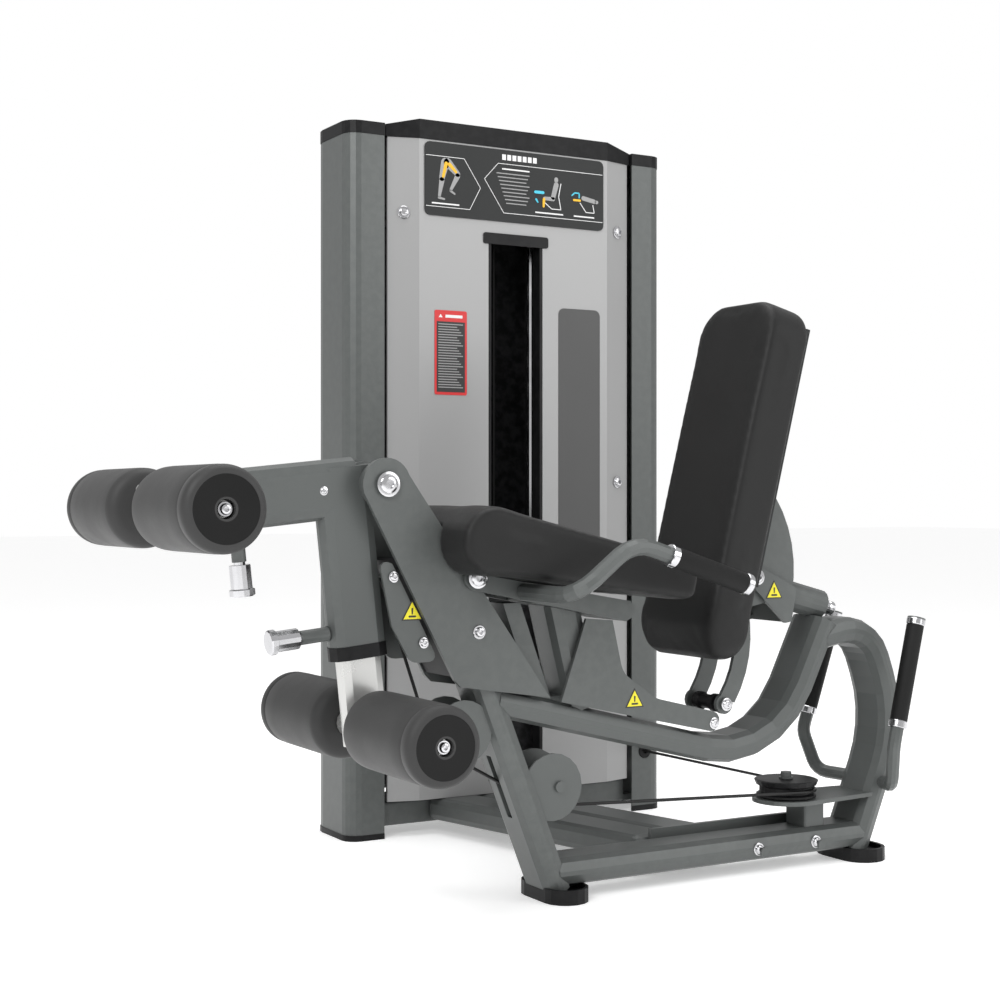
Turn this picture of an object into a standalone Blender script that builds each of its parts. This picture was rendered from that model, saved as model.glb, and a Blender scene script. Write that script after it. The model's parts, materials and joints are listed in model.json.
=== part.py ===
"""Selectorised leg machine with a seat, a reclining back pad and a roller arm beside a weight tower.

Metres, +Z up. Everything is drawn from the front foot's centre: +X runs from the foot rollers towards the
back pad, +Y from the seat towards the weight tower. The root empty then moves the whole machine so that its
origin is the bottom centre of its box.
"""

import math

import bmesh
import bpy
from mathutils import Vector

# Driving dimensions
GAP = 0.0004            # clearance between pieces that touch
TUBE_WIDE = 0.100       # frame tube, across the machine
TUBE_THICK = 0.050      # frame tube, in the side view
TUBE_CORNER = 0.021

PIVOT = (-0.353, 0.736)         # leg arm pivot in the side view (x, z)
ARM_TILT = math.radians(6)      # how far the roller arm is turned from square at rest
UPPER_AXLE = (-0.7240, 0.6970)
LOWER_AXLE = (-0.3715, 0.3320)
ROLLER_R = 0.065
ROLLER_INNER, ROLLER_OUTER = 0.052, 0.300
ROLLER_BORE = 0.0135
AXLE_R = 0.0125

BACK_HINGE = (0.420, 0.565)
BACK_LEAN = math.radians(14.5)
BACK_THICK = 0.100
PAD_HALF = 0.120
SEAT_HALF = 0.165

TOWER_X = 0.2835
TOWER_FRONT, TOWER_BACK = 0.600, 0.790
TOWER_TOP = 1.474
PANEL_LOW = 0.0756
PANEL_HALF = 0.3035
SLOT_X = (0.214, 0.351)
SLOT_Z = (0.100, 1.276)
STACK_X = 0.2825
PLATE_PITCH = 0.0190
RESTING_PLATES = 13
LIFTED_PLATES = 6
STACK_BASE = 0.112
ROD_SPREAD = 0.096
ROD_R = 0.0125
STACK_Y = 0.697

COLOURS = {
    "frame_paint": ((0.105, 0.112, 0.110), 0.45, 0.35),
    "panel_paint": ((0.38, 0.38, 0.38), 0.45, 0.3),
    "black_plastic": ((0.02, 0.02, 0.02), 0.45, 0.0),
    "vinyl": ((0.028, 0.028, 0.028), 0.5, 0.0),
    "foam": ((0.055, 0.055, 0.055), 0.6, 0.0),
    "chrome": ((0.75, 0.75, 0.76), 0.12, 1.0),
    "steel": ((0.55, 0.55, 0.56), 0.3, 0.9),
    "black_iron": ((0.015, 0.015, 0.016), 0.5, 0.2),
    "cable": ((0.012, 0.012, 0.012), 0.4, 0.0),
    "dark_sheet": ((0.06, 0.062, 0.062), 0.5, 0.1),
}


# ---------------------------------------------------------------- making shapes
def clear_scene():
    for thing in list(bpy.data.objects):
        bpy.data.objects.remove(thing, do_unlink=True)


def material(name):
    found = bpy.data.materials.get(name)
    if found:
        return found
    colour, roughness, metallic = COLOURS[name]
    made = bpy.data.materials.new(name)
    made.use_nodes = True
    shader = made.node_tree.nodes["Principled BSDF"]
    shader.inputs["Base Color"].default_value = (*colour, 1)
    shader.inputs["Roughness"].default_value = roughness
    shader.inputs["Metallic"].default_value = metallic
    made.diffuse_color = (*colour, 1)
    return made


def from_bmesh(name, bm, finish):
    bmesh.ops.recalc_face_normals(bm, faces=bm.faces)
    mesh = bpy.data.meshes.new(name)
    bm.to_mesh(mesh)
    bm.free()
    mesh.shade_smooth()
    mesh.set_sharp_from_angle(angle=math.radians(35))
    made = bpy.data.objects.new(name, mesh)
    bpy.context.collection.objects.link(made)
    mesh.materials.append(material(finish))
    return made


def loft(name, rings, finish, looped=False):
    """A closed skin over rings of points. Each ring has the same count; the ends are capped unless looped."""
    bm = bmesh.new()
    rows = [[bm.verts.new(point) for point in ring] for ring in rings]
    pairs = list(zip(rows, rows[1:]))
    if looped:
        pairs.append((rows[-1], rows[0]))
    count = len(rings[0])
    for low, high in pairs:
        for i in range(count):
            j = (i + 1) % count
            bm.faces.new((low[i], low[j], high[j], high[i]))
    if not looped:
        bm.faces.new(reversed(rows[0]))
        bm.faces.new(rows[-1])
    return from_bmesh(name, bm, finish)


def filleted(corners, steps=5):
    """Points of a path or outline whose corners, (point, radius), are rounded by arcs."""
    points = []
    count = len(corners)
    for i, (corner, radius) in enumerate(corners):
        here = Vector(corner)
        if not radius:
            points.append(here)
            continue
        back = (Vector(corners[i - 1][0]) - here).normalized()
        ahead = (Vector(corners[(i + 1) % count][0]) - here).normalized()
        angle = back.angle(ahead)
        turn = math.pi - angle
        centre = here + (back + ahead).normalized() * radius / math.sin(angle / 2)
        reach = radius / math.tan(angle / 2)
        start = here + back * reach - centre
        end = here + ahead * reach - centre
        for k in range(steps + 1):
            s = k / steps
            spoke = (math.sin((1 - s) * turn) * start + math.sin(s * turn) * end) / math.sin(turn)
            points.append(centre + spoke)
    return points


def at_y(points, y):
    return [Vector((p[0], y, p[1])) for p in points]


def prism(name, outline, low, high, finish, axis="Y"):
    """An outline pushed straight from low to high. Its points are (x, z) for Y, (x, y) for Z and (y, z) for X."""
    place = {
        "Y": lambda p, d: Vector((p[0], d, p[1])),
        "Z": lambda p, d: Vector((p[0], p[1], d)),
        "X": lambda p, d: Vector((d, p[0], p[1])),
    }[axis]
    return loft(name, [[place(p, d) for p in outline] for d in (low, high)], finish)


def block(name, x, y, z, finish, corner=0.0, axis="Y"):
    """A box between pairs of limits, with its four edges along one axis rounded."""
    limits = {"Y": (x, z, y), "Z": (x, y, z), "X": (y, z, x)}[axis]
    (a0, a1), (b0, b1), (low, high) = limits
    corners = [((a0, b0), corner), ((a1, b0), corner), ((a1, b1), corner), ((a0, b1), corner)]
    return prism(name, filleted(corners, 3), low, high, finish, axis)


def oval(wide, thick, corner, grow=0.0):
    """Section of a flat oval tube: (in the side view, across the machine)."""
    a, b = thick / 2 + grow, wide / 2 + grow
    r = corner + grow
    return filleted([((-a, -b), r), ((a, -b), r), ((a, b), r), ((-a, b), r)], 2)


def circle(radius, count=10):
    turns = [2 * math.pi * i / count for i in range(count)]
    return [Vector((radius * math.cos(t), radius * math.sin(t))) for t in turns]


def sweep(name, path, section, finish, across=(0, 1, 0)):
    """A section carried along a path. Its first coordinate lies in the bends, its second runs along across."""
    rings = []
    last = len(path) - 1
    side = Vector(across).normalized()
    for i, point in enumerate(path):
        before = (path[i] - path[i - 1]).normalized() if i else None
        after = (path[i + 1] - path[i]).normalized() if i < last else None
        before, after = before or after, after or before
        along = (before + after).normalized()
        side = (side - along * side.dot(along)).normalized()
        normal = side.cross(along)
        stretch = 1 / max(along.dot(after), 0.5)
        rings.append([point + normal * a * stretch + side * b for a, b in section])
    return loft(name, rings, finish)


def tube(name, corners, finish, wide=TUBE_WIDE, thick=TUBE_THICK, corner=TUBE_CORNER, y=0.0, grow=0.0, steps=5):
    path = at_y(filleted(corners, steps), y)
    return sweep(name, path, oval(wide, thick, corner, grow), finish)


def turned(name, profile, centre, finish, axis="Y", count=16, ring=False):
    """A profile of (radius, along) points turned about an axis through centre. A ring's profile goes all round its bore."""
    place = {
        "Y": lambda r, t, d: (r * math.cos(t), d, r * math.sin(t)),
        "Z": lambda r, t, d: (r * math.cos(t), r * math.sin(t), d),
        "X": lambda r, t, d: (d, r * math.cos(t), r * math.sin(t)),
    }[axis]
    turns = [2 * math.pi * i / count for i in range(count)]
    rings = [[Vector(centre) + Vector(place(r, t, d)) for t in turns] for r, d in profile]
    return loft(name, rings, finish, looped=ring)


def rod(name, start, end, radius, finish, count=12):
    along = Vector(end) - Vector(start)
    across = (0, 1, 0) if abs(along.normalized().y) < 0.9 else (1, 0, 0)
    return sweep(name, [Vector(start), Vector(end)], circle(radius, count), finish, across)


def boolean(target, other, operation):
    step = target.modifiers.new(operation.title(), "BOOLEAN")
    step.operation = operation
    step.solver = "EXACT"
    step.object = other
    other.hide_render = True
    other.display_type = "WIRE"
    other.hide_set(True)


def join(target, *others):
    for other in others:
        boolean(target, other, "UNION")
    return target


def cut(target, *others):
    for other in others:
        boolean(target, other, "DIFFERENCE")
    return target


def helper(maker, *args, **keywords):
    """A shape used only to join or cut."""
    helper.count += 1
    return maker(f"helper_{helper.count}", *args, **keywords)


helper.count = 0


def polar(centre, radius, degrees):
    turn = math.radians(degrees)
    return (centre[0] + radius * math.cos(turn), centre[1] + radius * math.sin(turn))


# ---------------------------------------------------------------- base frame
FRONT_LEG = [((-0.004, 0.018), 0), ((-0.155, 0.400), 0)]
MAIN_BEAM = [((-0.132, 0.3600), 0), ((0.479, 0.208), 0.200), ((0.612, 0.474), 0)]
REAR_LEG = [((0.600, 0.4425), 0), ((0.722, 0.466), 0.085), ((0.795, 0.270), 0.250), ((0.688, 0.018), 0)]
RAIL_BOLTS = (0.44, 0.58)
RAIL = [((-0.010, 0.050), 0), ((0.698, 0.050), 0)]


def foot(name, x, half_x, half_y):
    """A long rubber pad with a raised rim."""
    corner = half_x - 0.001
    def plan(inset):
        a, b = half_x - inset, half_y - inset
        r = corner - inset
        corners = [((x - a, -b), r), ((x + a, -b), r), ((x + a, b), r), ((x - a, b), r)]
        return filleted(corners, 4)
    made = prism(name, plan(0), 0.0, 0.026, "black_plastic", "Z")
    return cut(made, helper(prism, plan(0.006), 0.017, 0.03, "black_plastic", "Z"))


def base_frame():
    leg = tube("front_leg", FRONT_LEG, "frame_paint")
    # Grey discs either side of the two cable pulleys are welded to the leg.
    for at, guard, radius in ((PULLEY_A, (-0.196, 0.3125), 0.055), (PULLEY_B, (-0.017, 0.2030), 0.060)):
        join(leg, helper(fork, (at[0], 0, at[1]), disc(guard, radius), "Y", gap=0.0330))
    cut(leg, helper(block, (-0.2, 0.2), (-0.008, 0.008), (0.150, 0.262), "frame_paint"))
    rear = tube("rear_leg", REAR_LEG, "frame_paint")
    cut(rear, helper(tube, MAIN_BEAM, "frame_paint", grow=GAP))
    beam = tube("main_beam", MAIN_BEAM, "frame_paint")
    rail = tube("lower_rail", RAIL, "frame_paint")
    for name, x, half_x, half_y in (("front_foot", 0.009, 0.042, 0.077), ("rear_foot", 0.705, 0.046, 0.076)):
        cut(foot(name, x, half_x, half_y), helper(tube, FRONT_LEG, "frame_paint", grow=GAP),
            helper(tube, REAR_LEG, "frame_paint", grow=GAP), helper(tube, RAIL, "frame_paint", grow=GAP))
    cut(beam, helper(tube, FRONT_LEG, "frame_paint", grow=GAP), back_housing_solid(GAP))
    cut(rail, helper(tube, FRONT_LEG, "frame_paint", grow=GAP), helper(tube, REAR_LEG, "frame_paint", grow=GAP))
    cut(rail, *[helper(turned, [(0.0095, -0.08), (0.0095, 0.08)], (x, 0, 0.045), "chrome", count=12)
                for x in RAIL_BOLTS])
    floor_beams()


def floor_beams():
    """Two tubes side by side, turned a little in plan, from the tower's base to a flange bolted to the rail."""
    skew, half = 0.244, 0.0522
    y0, y1 = 0.0590, 0.6396
    flange = block("floor_beams", (0.255, 0.605), (0.0504, 0.0604), (0.020, 0.088), "frame_paint")
    for x in (0.292, 0.396):
        ends = [(x - skew * y0 - half, y0), (x - skew * y0 + half, y0),
                 (x - skew * y1 + half, y1), (x - skew * y1 - half, y1)]
        beam = helper(prism, [Vector(c) for c in ends], 0.0252, 0.0748, "frame_paint", "Z")
        edge = beam.modifiers.new("Rounded", "BEVEL")
        edge.width, edge.segments = 0.014, 2
        edge.limit_method = "ANGLE"
        edge.angle_limit = math.radians(60)
        join(flange, beam)
    join(flange, *[helper(turned, [(0.009, -0.060), (0.009, 0.058)], (x, 0, 0.045), "chrome", count=12)
                   for x in RAIL_BOLTS])


# ---------------------------------------------------------------- pivot plates and the roller arm
PLATE_TOP_R = 0.044
PLATE_FOOT = ((-0.226, 0.4045), (-0.036, 0.3645))


def tangent_outline(grow=0.0):
    """Side view of a pivot plate: round about the pivot, widening down to the beam."""
    (x0, z0), (x1, z1) = PLATE_FOOT
    arc = [polar(PIVOT, PLATE_TOP_R + grow, d) for d in range(200, 14, -12)]
    foot_line = [(x0 + 0.012 - grow, z0 - 0.012), (x0 - grow, z0), *arc, (x1 + grow, z1)]
    return [Vector(p) for p in foot_line]


def pivot_plates():
    outline = tangent_outline()
    for side, name in ((-1, "pivot_plate_near"), (1, "pivot_plate_far")):
        inner, outer = sorted((side * 0.0508, side * 0.0590))
        plate = prism(name, outline, inner, outer, "frame_paint")
        cut(plate, helper(turned, [(0.0130, -0.1), (0.0130, 0.1)], (PIVOT[0], 0, PIVOT[1]), "frame_paint"))
        cut(plate, helper(turned, [(0.0090, -0.1), (0.0090, 0.1)], (-0.189, 0, 0.578), "frame_paint"))
        for leg in (FRONT_LEG, MAIN_BEAM):
            cut(plate, helper(tube, leg, "frame_paint", grow=GAP))
    turned("arm_pivot_axle", [(0.0150, -0.0640), (0.0150, -0.0594), (0.0124, -0.0594), (0.0124, 0.0594),
                                     (0.0150, 0.0594), (0.0150, 0.0640)], (PIVOT[0], 0, PIVOT[1]), "chrome")
    # The cover closes the gap between the two plates along their front edge.
    strip = [(-0.3300, 0.608), (-0.3210, 0.612), (-0.2170, 0.414), (-0.2260, 0.410)]
    prism("strut_cover", [Vector(p) for p in strip], -0.0500, 0.0500, "black_plastic")


def cable_guards():
    """Two small plates in front of the cover, joined by pins that the cable passes between."""
    corners = [((-0.362, 0.612), 0.010), ((-0.337, 0.604), 0.004), ((-0.2505, 0.438), 0.010),
               ((-0.302, 0.436), 0.022), ((-0.338, 0.500), 0.010)]
    outline = filleted(corners, 3)
    near = prism("cable_guard", outline, -0.0460, -0.0400, "frame_paint")
    far = helper(prism, outline, 0.0400, 0.0460, "frame_paint")
    pins = [helper(turned, [(0.004, -0.0475), (0.004, 0.0475)], (x, 0, z), "chrome", count=10)
            for x, z in ((-0.3352, 0.582), (-0.2790, 0.470))]
    join(near, far, *pins)


def arm_point(along, down):
    """A point of the roller arm: along its upper leg from the corner towards the rollers, and down its lower leg."""
    corner = Vector((-0.409, 0.7300))
    back = Vector((-math.cos(ARM_TILT), -math.sin(ARM_TILT)))
    under = Vector((math.sin(ARM_TILT), -math.cos(ARM_TILT)))
    return corner + back * along + under * down


def leg_arm():
    """An L of flat oval tube: the upper leg runs to the ankle rollers, the lower leg hangs from the pivot."""
    section = dict(wide=0.050, thick=0.100, corner=0.0210)
    lower = tube("leg_arm", [(arm_point(0, -0.035), 0), (arm_point(0, 0.262), 0)], "frame_paint", **section)
    upper = helper(tube, [(arm_point(-0.020, 0), 0), (arm_point(0.215, 0), 0)], "frame_paint", **section)
    hub = helper(turned, [(0.036, -0.0490), (0.036, 0.0490)],
                 (PIVOT[0], 0, PIVOT[1]), "frame_paint", count=24)
    cam = helper(prism, cam_outline(), 0.0300, 0.0380, "frame_paint")
    join(lower, upper, hub, cam)
    bore = helper(turned, [(0.0128, -0.1), (0.0128, 0.1)], (PIVOT[0], 0, PIVOT[1]), "frame_paint")
    lower_hollow = helper(tube, [(arm_point(0, 0.055), 0), (arm_point(0, 0.300), 0)], "frame_paint",
                          wide=0.0412, thick=0.0812, corner=0.0181)
    upper_hollow = helper(tube, [(arm_point(0.055, 0), 0), (arm_point(0.260, 0), 0)], "frame_paint",
                          wide=0.0412, thick=0.0812, corner=0.0181)
    cut(lower, bore, lower_hollow, upper_hollow)
    collar = tube("arm_collar", [(arm_point(0, 0.2625), 0), (arm_point(0, 0.2850), 0)], "black_plastic",
                  wide=0.054, thick=0.104, corner=0.0230)
    cut(collar, helper(tube, [(arm_point(0, 0.20), 0), (arm_point(0, 0.35), 0)], "black_plastic",
                       wide=0.0412, thick=0.0812, corner=0.0181))


def cam_outline():
    """The cam that winds the cable, on the far side of the arm's hub."""
    return [Vector(polar(PIVOT, 0.040, d)) for d in range(0, 360, 18)]


def carriage(name, axle_at, start, end):
    """An inner tube that slides in the arm, with the axle that two rollers turn on."""
    inner = tube(name, [(start, 0), (end, 0)], "steel", wide=0.0400, thick=0.0800, corner=0.0175)
    axle = helper(turned, [(AXLE_R, -ROLLER_OUTER + 0.014), (AXLE_R, ROLLER_OUTER - 0.014)],
                  (axle_at[0], 0, axle_at[1]), "steel", count=16)
    washers = [helper(turned, [(0.024, y0), (0.024, y0 + 0.028)], (axle_at[0], 0, axle_at[1]), "steel", count=16)
               for y0 in (-0.049, 0.021)]
    return join(inner, axle, *washers)


def roller(name, centre, side):
    """A foam roller with rounded ends, a groove near its outer end and a recess for the axle's bolt."""
    near, far = ROLLER_INNER, ROLLER_OUTER
    profile = [(ROLLER_BORE, near), (0.045, near), (0.060, near + 0.006), (ROLLER_R, near + 0.018),
               (ROLLER_R, far - 0.030), (0.0630, far - 0.028), (0.0630, far - 0.026), (ROLLER_R, far - 0.024),
               (0.0625, far - 0.010), (0.055, far - 0.001), (0.0530, far), (0.018, far), (0.016, far - 0.010),
               (ROLLER_BORE, far - 0.010)]
    points = [(r, side * y) for r, y in profile]
    return turned(name, points, (centre[0], 0, centre[1]), "foam", count=18, ring=True)


def pull_pin(name, base, direction, stem=0.055):
    """A sprung locking pin: a stem that stands on the tube and a pull knob with a flange, drawn straight out."""
    way = Vector((direction[0], 0, direction[1])).normalized()
    start = Vector((base[0], 0, base[1]))
    profile = [(0.0095, 0.0), (0.0095, stem), (0.0175, stem), (0.0175, stem + 0.038), (0.0210, stem + 0.040),
               (0.0210, stem + 0.049), (0.0185, stem + 0.051)]
    return loft(name, turned_along(start, way, profile, 14), "chrome")


def turned_along(start, way, profile, count):
    """Rings of a profile of (radius, along) turned about a line in the side view."""
    side = way.cross(Vector((0, 1, 0)))
    turns = [2 * math.pi * i / count for i in range(count)]
    return [[start + way * d + (side * math.cos(t) + Vector((0, 1, 0)) * math.sin(t)) * r for t in turns]
            for r, d in profile]


def roller_arm():
    leg_arm()
    carriage("upper_carriage", UPPER_AXLE, arm_point(0.060, 0), arm_point(0.345, 0))
    carriage("lower_carriage", LOWER_AXLE, arm_point(0, 0.060), arm_point(0, 0.430))
    for side, where in ((-1, "near"), (1, "far")):
        roller(f"upper_roller_{where}", UPPER_AXLE, side)
        roller(f"lower_roller_{where}", LOWER_AXLE, side)
    pull_pin("upper_pull_pin", arm_point(0.192, 0.0504), (math.sin(ARM_TILT), -math.cos(ARM_TILT)))
    pull_pin("lower_pull_pin", arm_point(0.0504, 0.238), (-math.cos(ARM_TILT), -math.sin(ARM_TILT)))


# ---------------------------------------------------------------- seat
def bar_outline(grow=0.0):
    """Side view of the seat frame's bar: a round nose at its bolt, running back and down under the pad."""
    nose = [polar((-0.189, 0.578), 0.022 + grow, d) for d in range(90, 271, 20)]
    rest = [(0.118, 0.4930 - grow), (0.132, 0.5000), (0.138 + grow, 0.5160),
             (0.128, 0.5290 + grow), (-0.150, 0.5780 + grow)]
    return [Vector(p) for p in nose + rest]


def seat():
    """The seat pad on its frame bar, the post that carries it and the plate behind the post."""
    roll, roll_r = (-0.2050, 0.6420), 0.0570
    under = [polar(roll, roll_r, d) for d in range(73, 254, 18)]
    back = [(-0.150, 0.5835), (0.195, 0.5340), (0.207, 0.5380), (0.2155, 0.583), (0.2100, 0.5960)]
    pad = prism("seat_pad", [Vector(p) for p in [*under, *back]], -SEAT_HALF, SEAT_HALF, "vinyl")
    pad.modifiers.new("Rounded", "BEVEL").width = 0.008
    for side in (-1, 1):
        inner, outer = sorted((side * 0.0490, side * 0.0610))
        cut(pad, helper(prism, tangent_outline(0.0015), inner, outer, "frame_paint"))
    cut(pad, helper(prism, bar_outline(0.0030), -0.0745, 0.0745, "frame_paint"))
    frame = prism("seat_frame", bar_outline(), -0.0670, 0.0670, "frame_paint")
    bolt = helper(turned, [(0.015, -0.0730), (0.015, -0.0660), (0.0085, -0.0660), (0.0085, 0.0660), (0.015, 0.0660),
                           (0.015, 0.0730)], (-0.189, 0, 0.578), "chrome", count=12)
    for side in (-1, 1):
        inner, outer = sorted((side * 0.0490, side * 0.0596))
        cut(frame, helper(prism, tangent_outline(0.001), inner, outer, "frame_paint"))
    cut(frame, helper(block, (-0.25, -0.06), (-0.0492, 0.0492), (0.45, 0.63), "frame_paint"))
    join(frame, bolt)
    post = tube("seat_post", [((0.052, 0.3400), 0), ((0.004, 0.5330), 0)],
                "frame_paint", wide=0.090, thick=0.070)
    strut = helper(prism, [Vector(p) for p in ((-0.115, 0.530), (-0.080, 0.530), (-0.012, 0.345), (-0.047, 0.345))],
                   -0.030, 0.030, "frame_paint")
    join(post, strut)
    link = helper(block, (-0.060, 0.04), (-0.030, 0.030), (0.345, 0.362), "frame_paint")
    join(post, link)
    corners = [((-0.012, 0.3550), 0), ((0.330, 0.2780), 0.018), ((0.338, 0.3140), 0.018), ((0.190, 0.350), 0.060),
               ((0.118, 0.400), 0.040), ((0.096, 0.495), 0), ((0.040, 0.500), 0)]
    tail = prism("tail_plate", filleted(corners, 3), -0.0570, -0.0505, "frame_paint")
    far_tail = helper(prism, filleted(corners, 3), 0.0505, 0.0570, "frame_paint")
    spacers = [helper(turned, [(0.010, -0.054), (0.010, 0.054)], (x, 0, z), "chrome", count=10)
               for x, z in ((0.322, 0.2960), (0.095, 0.385))]
    join(tail, far_tail, *spacers)
    for piece in (post, tail):
        cut(piece, helper(tube, MAIN_BEAM, "frame_paint", grow=GAP))
    over = [(-0.189, 0.5555), (0.118, 0.4925), (0.150, 0.4980), (0.150, 0.6500), (-0.189, 0.6500)]
    for piece in (post, tail):
        cut(piece, helper(prism, [Vector(p) for p in over], -0.1, 0.1, "frame_paint"))


HANDLE_R = 0.0145
GRIP_R = 0.0175


def side_handle(where, side):
    """A bent tube from under the seat with a black grip between two rings."""
    corners = [((-0.095, 0.0676, 0.552), 0), ((-0.095, 0.235, 0.552), 0.045), ((0.020, 0.235, 0.640), 0.075),
               ((0.258, 0.235, 0.5625), 0)]
    path = filleted([(Vector((x, side * y, z)), r) for (x, y, z), r in corners], 4)
    handle = sweep(f"side_handle_{where}", path, circle(HANDLE_R), "frame_paint", (0, 0, 1))
    along = (path[-1] - path[-2]).normalized()
    end = path[-1]
    rings = [helper(rod, end - along * a, end - along * b, 0.0190, "chrome", 16)
             for a, b in ((0.008, -0.004), (0.176, 0.164))]
    join(handle, *rings)
    join(handle, helper(rod, end - along * 0.165, end - along * 0.007, GRIP_R, "black_plastic", 16))


def rear_handle(where, side):
    """A grip behind the back pad, on a tube that curves down into the rear leg."""
    corners = [((0.7455, side * 0.0506, 0.150), 0), ((0.712, side * 0.110, 0.155), 0.035),
               ((0.695, side * 0.134, 0.235), 0.05), ((0.766, side * 0.120, 0.474), 0)]
    path = filleted([(Vector(p), r) for p, r in corners], 4)
    handle = sweep(f"rear_handle_{where}", path, circle(0.0130), "frame_paint", (0, 0, 1))
    along = (path[-1] - path[-2]).normalized()
    end = path[-1]
    rings = [helper(rod, end - along * a, end - along * b, 0.0175, "chrome", 16)
             for a, b in ((0.006, -0.006), (0.212, 0.200))]
    join(handle, *rings)
    join(handle, helper(rod, end - along * 0.201, end - along * 0.005, 0.0160, "black_plastic", 16))
    cut(handle, helper(tube, REAR_LEG, "frame_paint", grow=GAP))


# ---------------------------------------------------------------- back pad and its hinge
def back_point(up, out=0.0):
    """A point of the back pad: up along its front face from the hinge's height, and out behind that face."""
    foot = Vector((0.2500, 0.4200))
    rise = Vector((math.sin(BACK_LEAN), math.cos(BACK_LEAN)))
    behind = Vector((math.cos(BACK_LEAN), -math.sin(BACK_LEAN)))
    return foot + rise * up + behind * out


def back_pad():
    """The pad, its backing board, and the carrier: two curved plates joined by the bolt of the rubber stop."""
    side = [back_point(-0.002, 0.050), back_point(0.030, 0.012), back_point(0.060, 0.0), back_point(0.682, 0.0),
            back_point(0.698, 0.014), back_point(0.698, 0.086), back_point(
                0.682, 0.100), back_point(0.040, 0.100),
            back_point(0.006, 0.080)]
    pad = prism("back_pad", side, -PAD_HALF, PAD_HALF, "vinyl")
    pad.modifiers.new("Rounded", "BEVEL").width = 0.012
    board = [back_point(0.160, 0.1004), back_point(0.660, 0.1004),
                        back_point(0.660, 0.1084), back_point(0.160, 0.1084)]
    prism("back_board", board, -0.095, 0.095, "dark_sheet")
    slab = [back_point(-0.2, -0.1), back_point(0.8, -0.1), back_point(0.8, 0.1088), back_point(0.150, 0.1088),
            back_point(0.150, 0.1010), back_point(-0.2, 0.1010)]
    arc_at, tail_at, spool = (0.283, 0.5775), (0.190, 0.4550), (0.3515, 0.3290)
    blades = []
    for side in (-1, 1):
        y0, y1 = sorted((side * 0.0420, side * 0.0500))
        outer = [polar(arc_at, 0.2350, d) for d in range(44, -13, -8)]
        sheet = [*outer, back_point(0.10, 0.08), back_point(0.31, 0.08)]
        blade = helper(prism, [Vector(p) for p in sheet], y0, y1, "frame_paint")
        tail_out = [polar(tail_at, 0.2230, d) for d in range(30, -36, -8)]
        tail_in = [polar(tail_at, 0.1880, d) for d in range(-35, 31, 8)]
        tail = helper(prism, [Vector(p) for p in [*tail_out, *tail_in]], y0, y1, "frame_paint")
        eye = helper(turned, [(0.019, y0), (0.019, y1)], (spool[0], 0, spool[1]), "frame_paint")
        join(blade, tail, eye)
        cut(blade, helper(prism, slab, -0.2, 0.2, "frame_paint"))
        cut(blade, helper(turned, [(0.0084, y0 - 0.01), (0.0084, y1 + 0.01)], (BACK_HINGE[0], 0, BACK_HINGE[1]),
                          "frame_paint", count=16))
        blades.append(blade)
    carrier = turned("back_carrier", [(0.011, -0.0560), (0.011, -0.0504), (0.006, -0.0504), (0.006, 0.0504), (0.011, 0.0504),
                         (0.011, 0.0560)], (spool[0], 0, spool[1]), "frame_paint", count=14)
    join(carrier, *blades)
    turned("stop_spool", [(0.0064, -0.0300), (0.017, -0.0300), (0.017, -0.0180), (0.0135, -0.0150), (0.0135, 0.0150),
                          (0.017, 0.0180), (0.017, 0.0300), (0.0064, 0.0300)], (spool[0], 0, spool[1]),
           "black_plastic", count=18, ring=True)


HOUSING = ((0.447, 0.5495), (0.622, 0.5040))


def back_housing_solid(grow=0.0):
    (x0, z0), (x1, z1) = HOUSING
    return helper(rod, (x0, 0, z0), (x1, 0, z1), 0.0290 + grow, "frame_paint", 18)


def back_bracket():
    """The locking pin's housing on top of the beam, with two side plates that hold the back pad's hinge."""
    (x0, z0), (x1, z1) = HOUSING
    housing = rod("back_housing", (x0, 0, z0), (x1, 0, z1), 0.0290, "frame_paint", 18)
    outline = [(0.411, 0.548), (0.4035, 0.560), (0.403, 0.575), (0.412, 0.583), (0.4300, 0.5830), (0.481, 0.560),
               (0.518, 0.541), (0.505, 0.478), (0.490, 0.476)]
    # The rib and its feet stay outside the circle that the carrier sweeps about the hinge.
    join(housing, helper(block, (0.4900, 0.5045), (-0.0405, 0.0405), (0.4775, 0.5250), "frame_paint"))
    for side in (-1, 1):
        inner, outer = sorted((side * 0.0505, side * 0.0585))
        plate = helper(prism, [Vector(p) for p in outline], inner, outer, "frame_paint")
        foot_y = sorted((side * 0.0200, side * 0.0510))
        foot = helper(block, (0.4900, 0.5045), foot_y, (0.4775, 0.4850), "frame_paint")
        join(housing, plate, foot)
    along = Vector((x1 - x0, 0, z1 - z0)).normalized()
    start, end = Vector((x0, 0, z0)), Vector((x1, 0, z1))
    cut(housing, helper(rod, start - along * 0.02, end + along * 0.02, 0.0086, "frame_paint", 14))
    pin = helper(turned, [(0.012, -0.0630), (0.012, -0.0589), (0.0080, -0.0589), (0.0080, 0.0589), (0.012, 0.0589),
                              (0.012, 0.0630)], (BACK_HINGE[0], 0, BACK_HINGE[1]), "chrome", count=16)
    join(housing, pin)
    pin = [(0.0080, -0.120), (0.0080, 0.0060), (0.0120, 0.0060), (0.0115, 0.022), (0.0135, 0.024), (0.0135, 0.0330),
           (0.0115, 0.0350)]
    loft("back_pull_pin", turned_along(end, along, pin, 16), "chrome")


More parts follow.
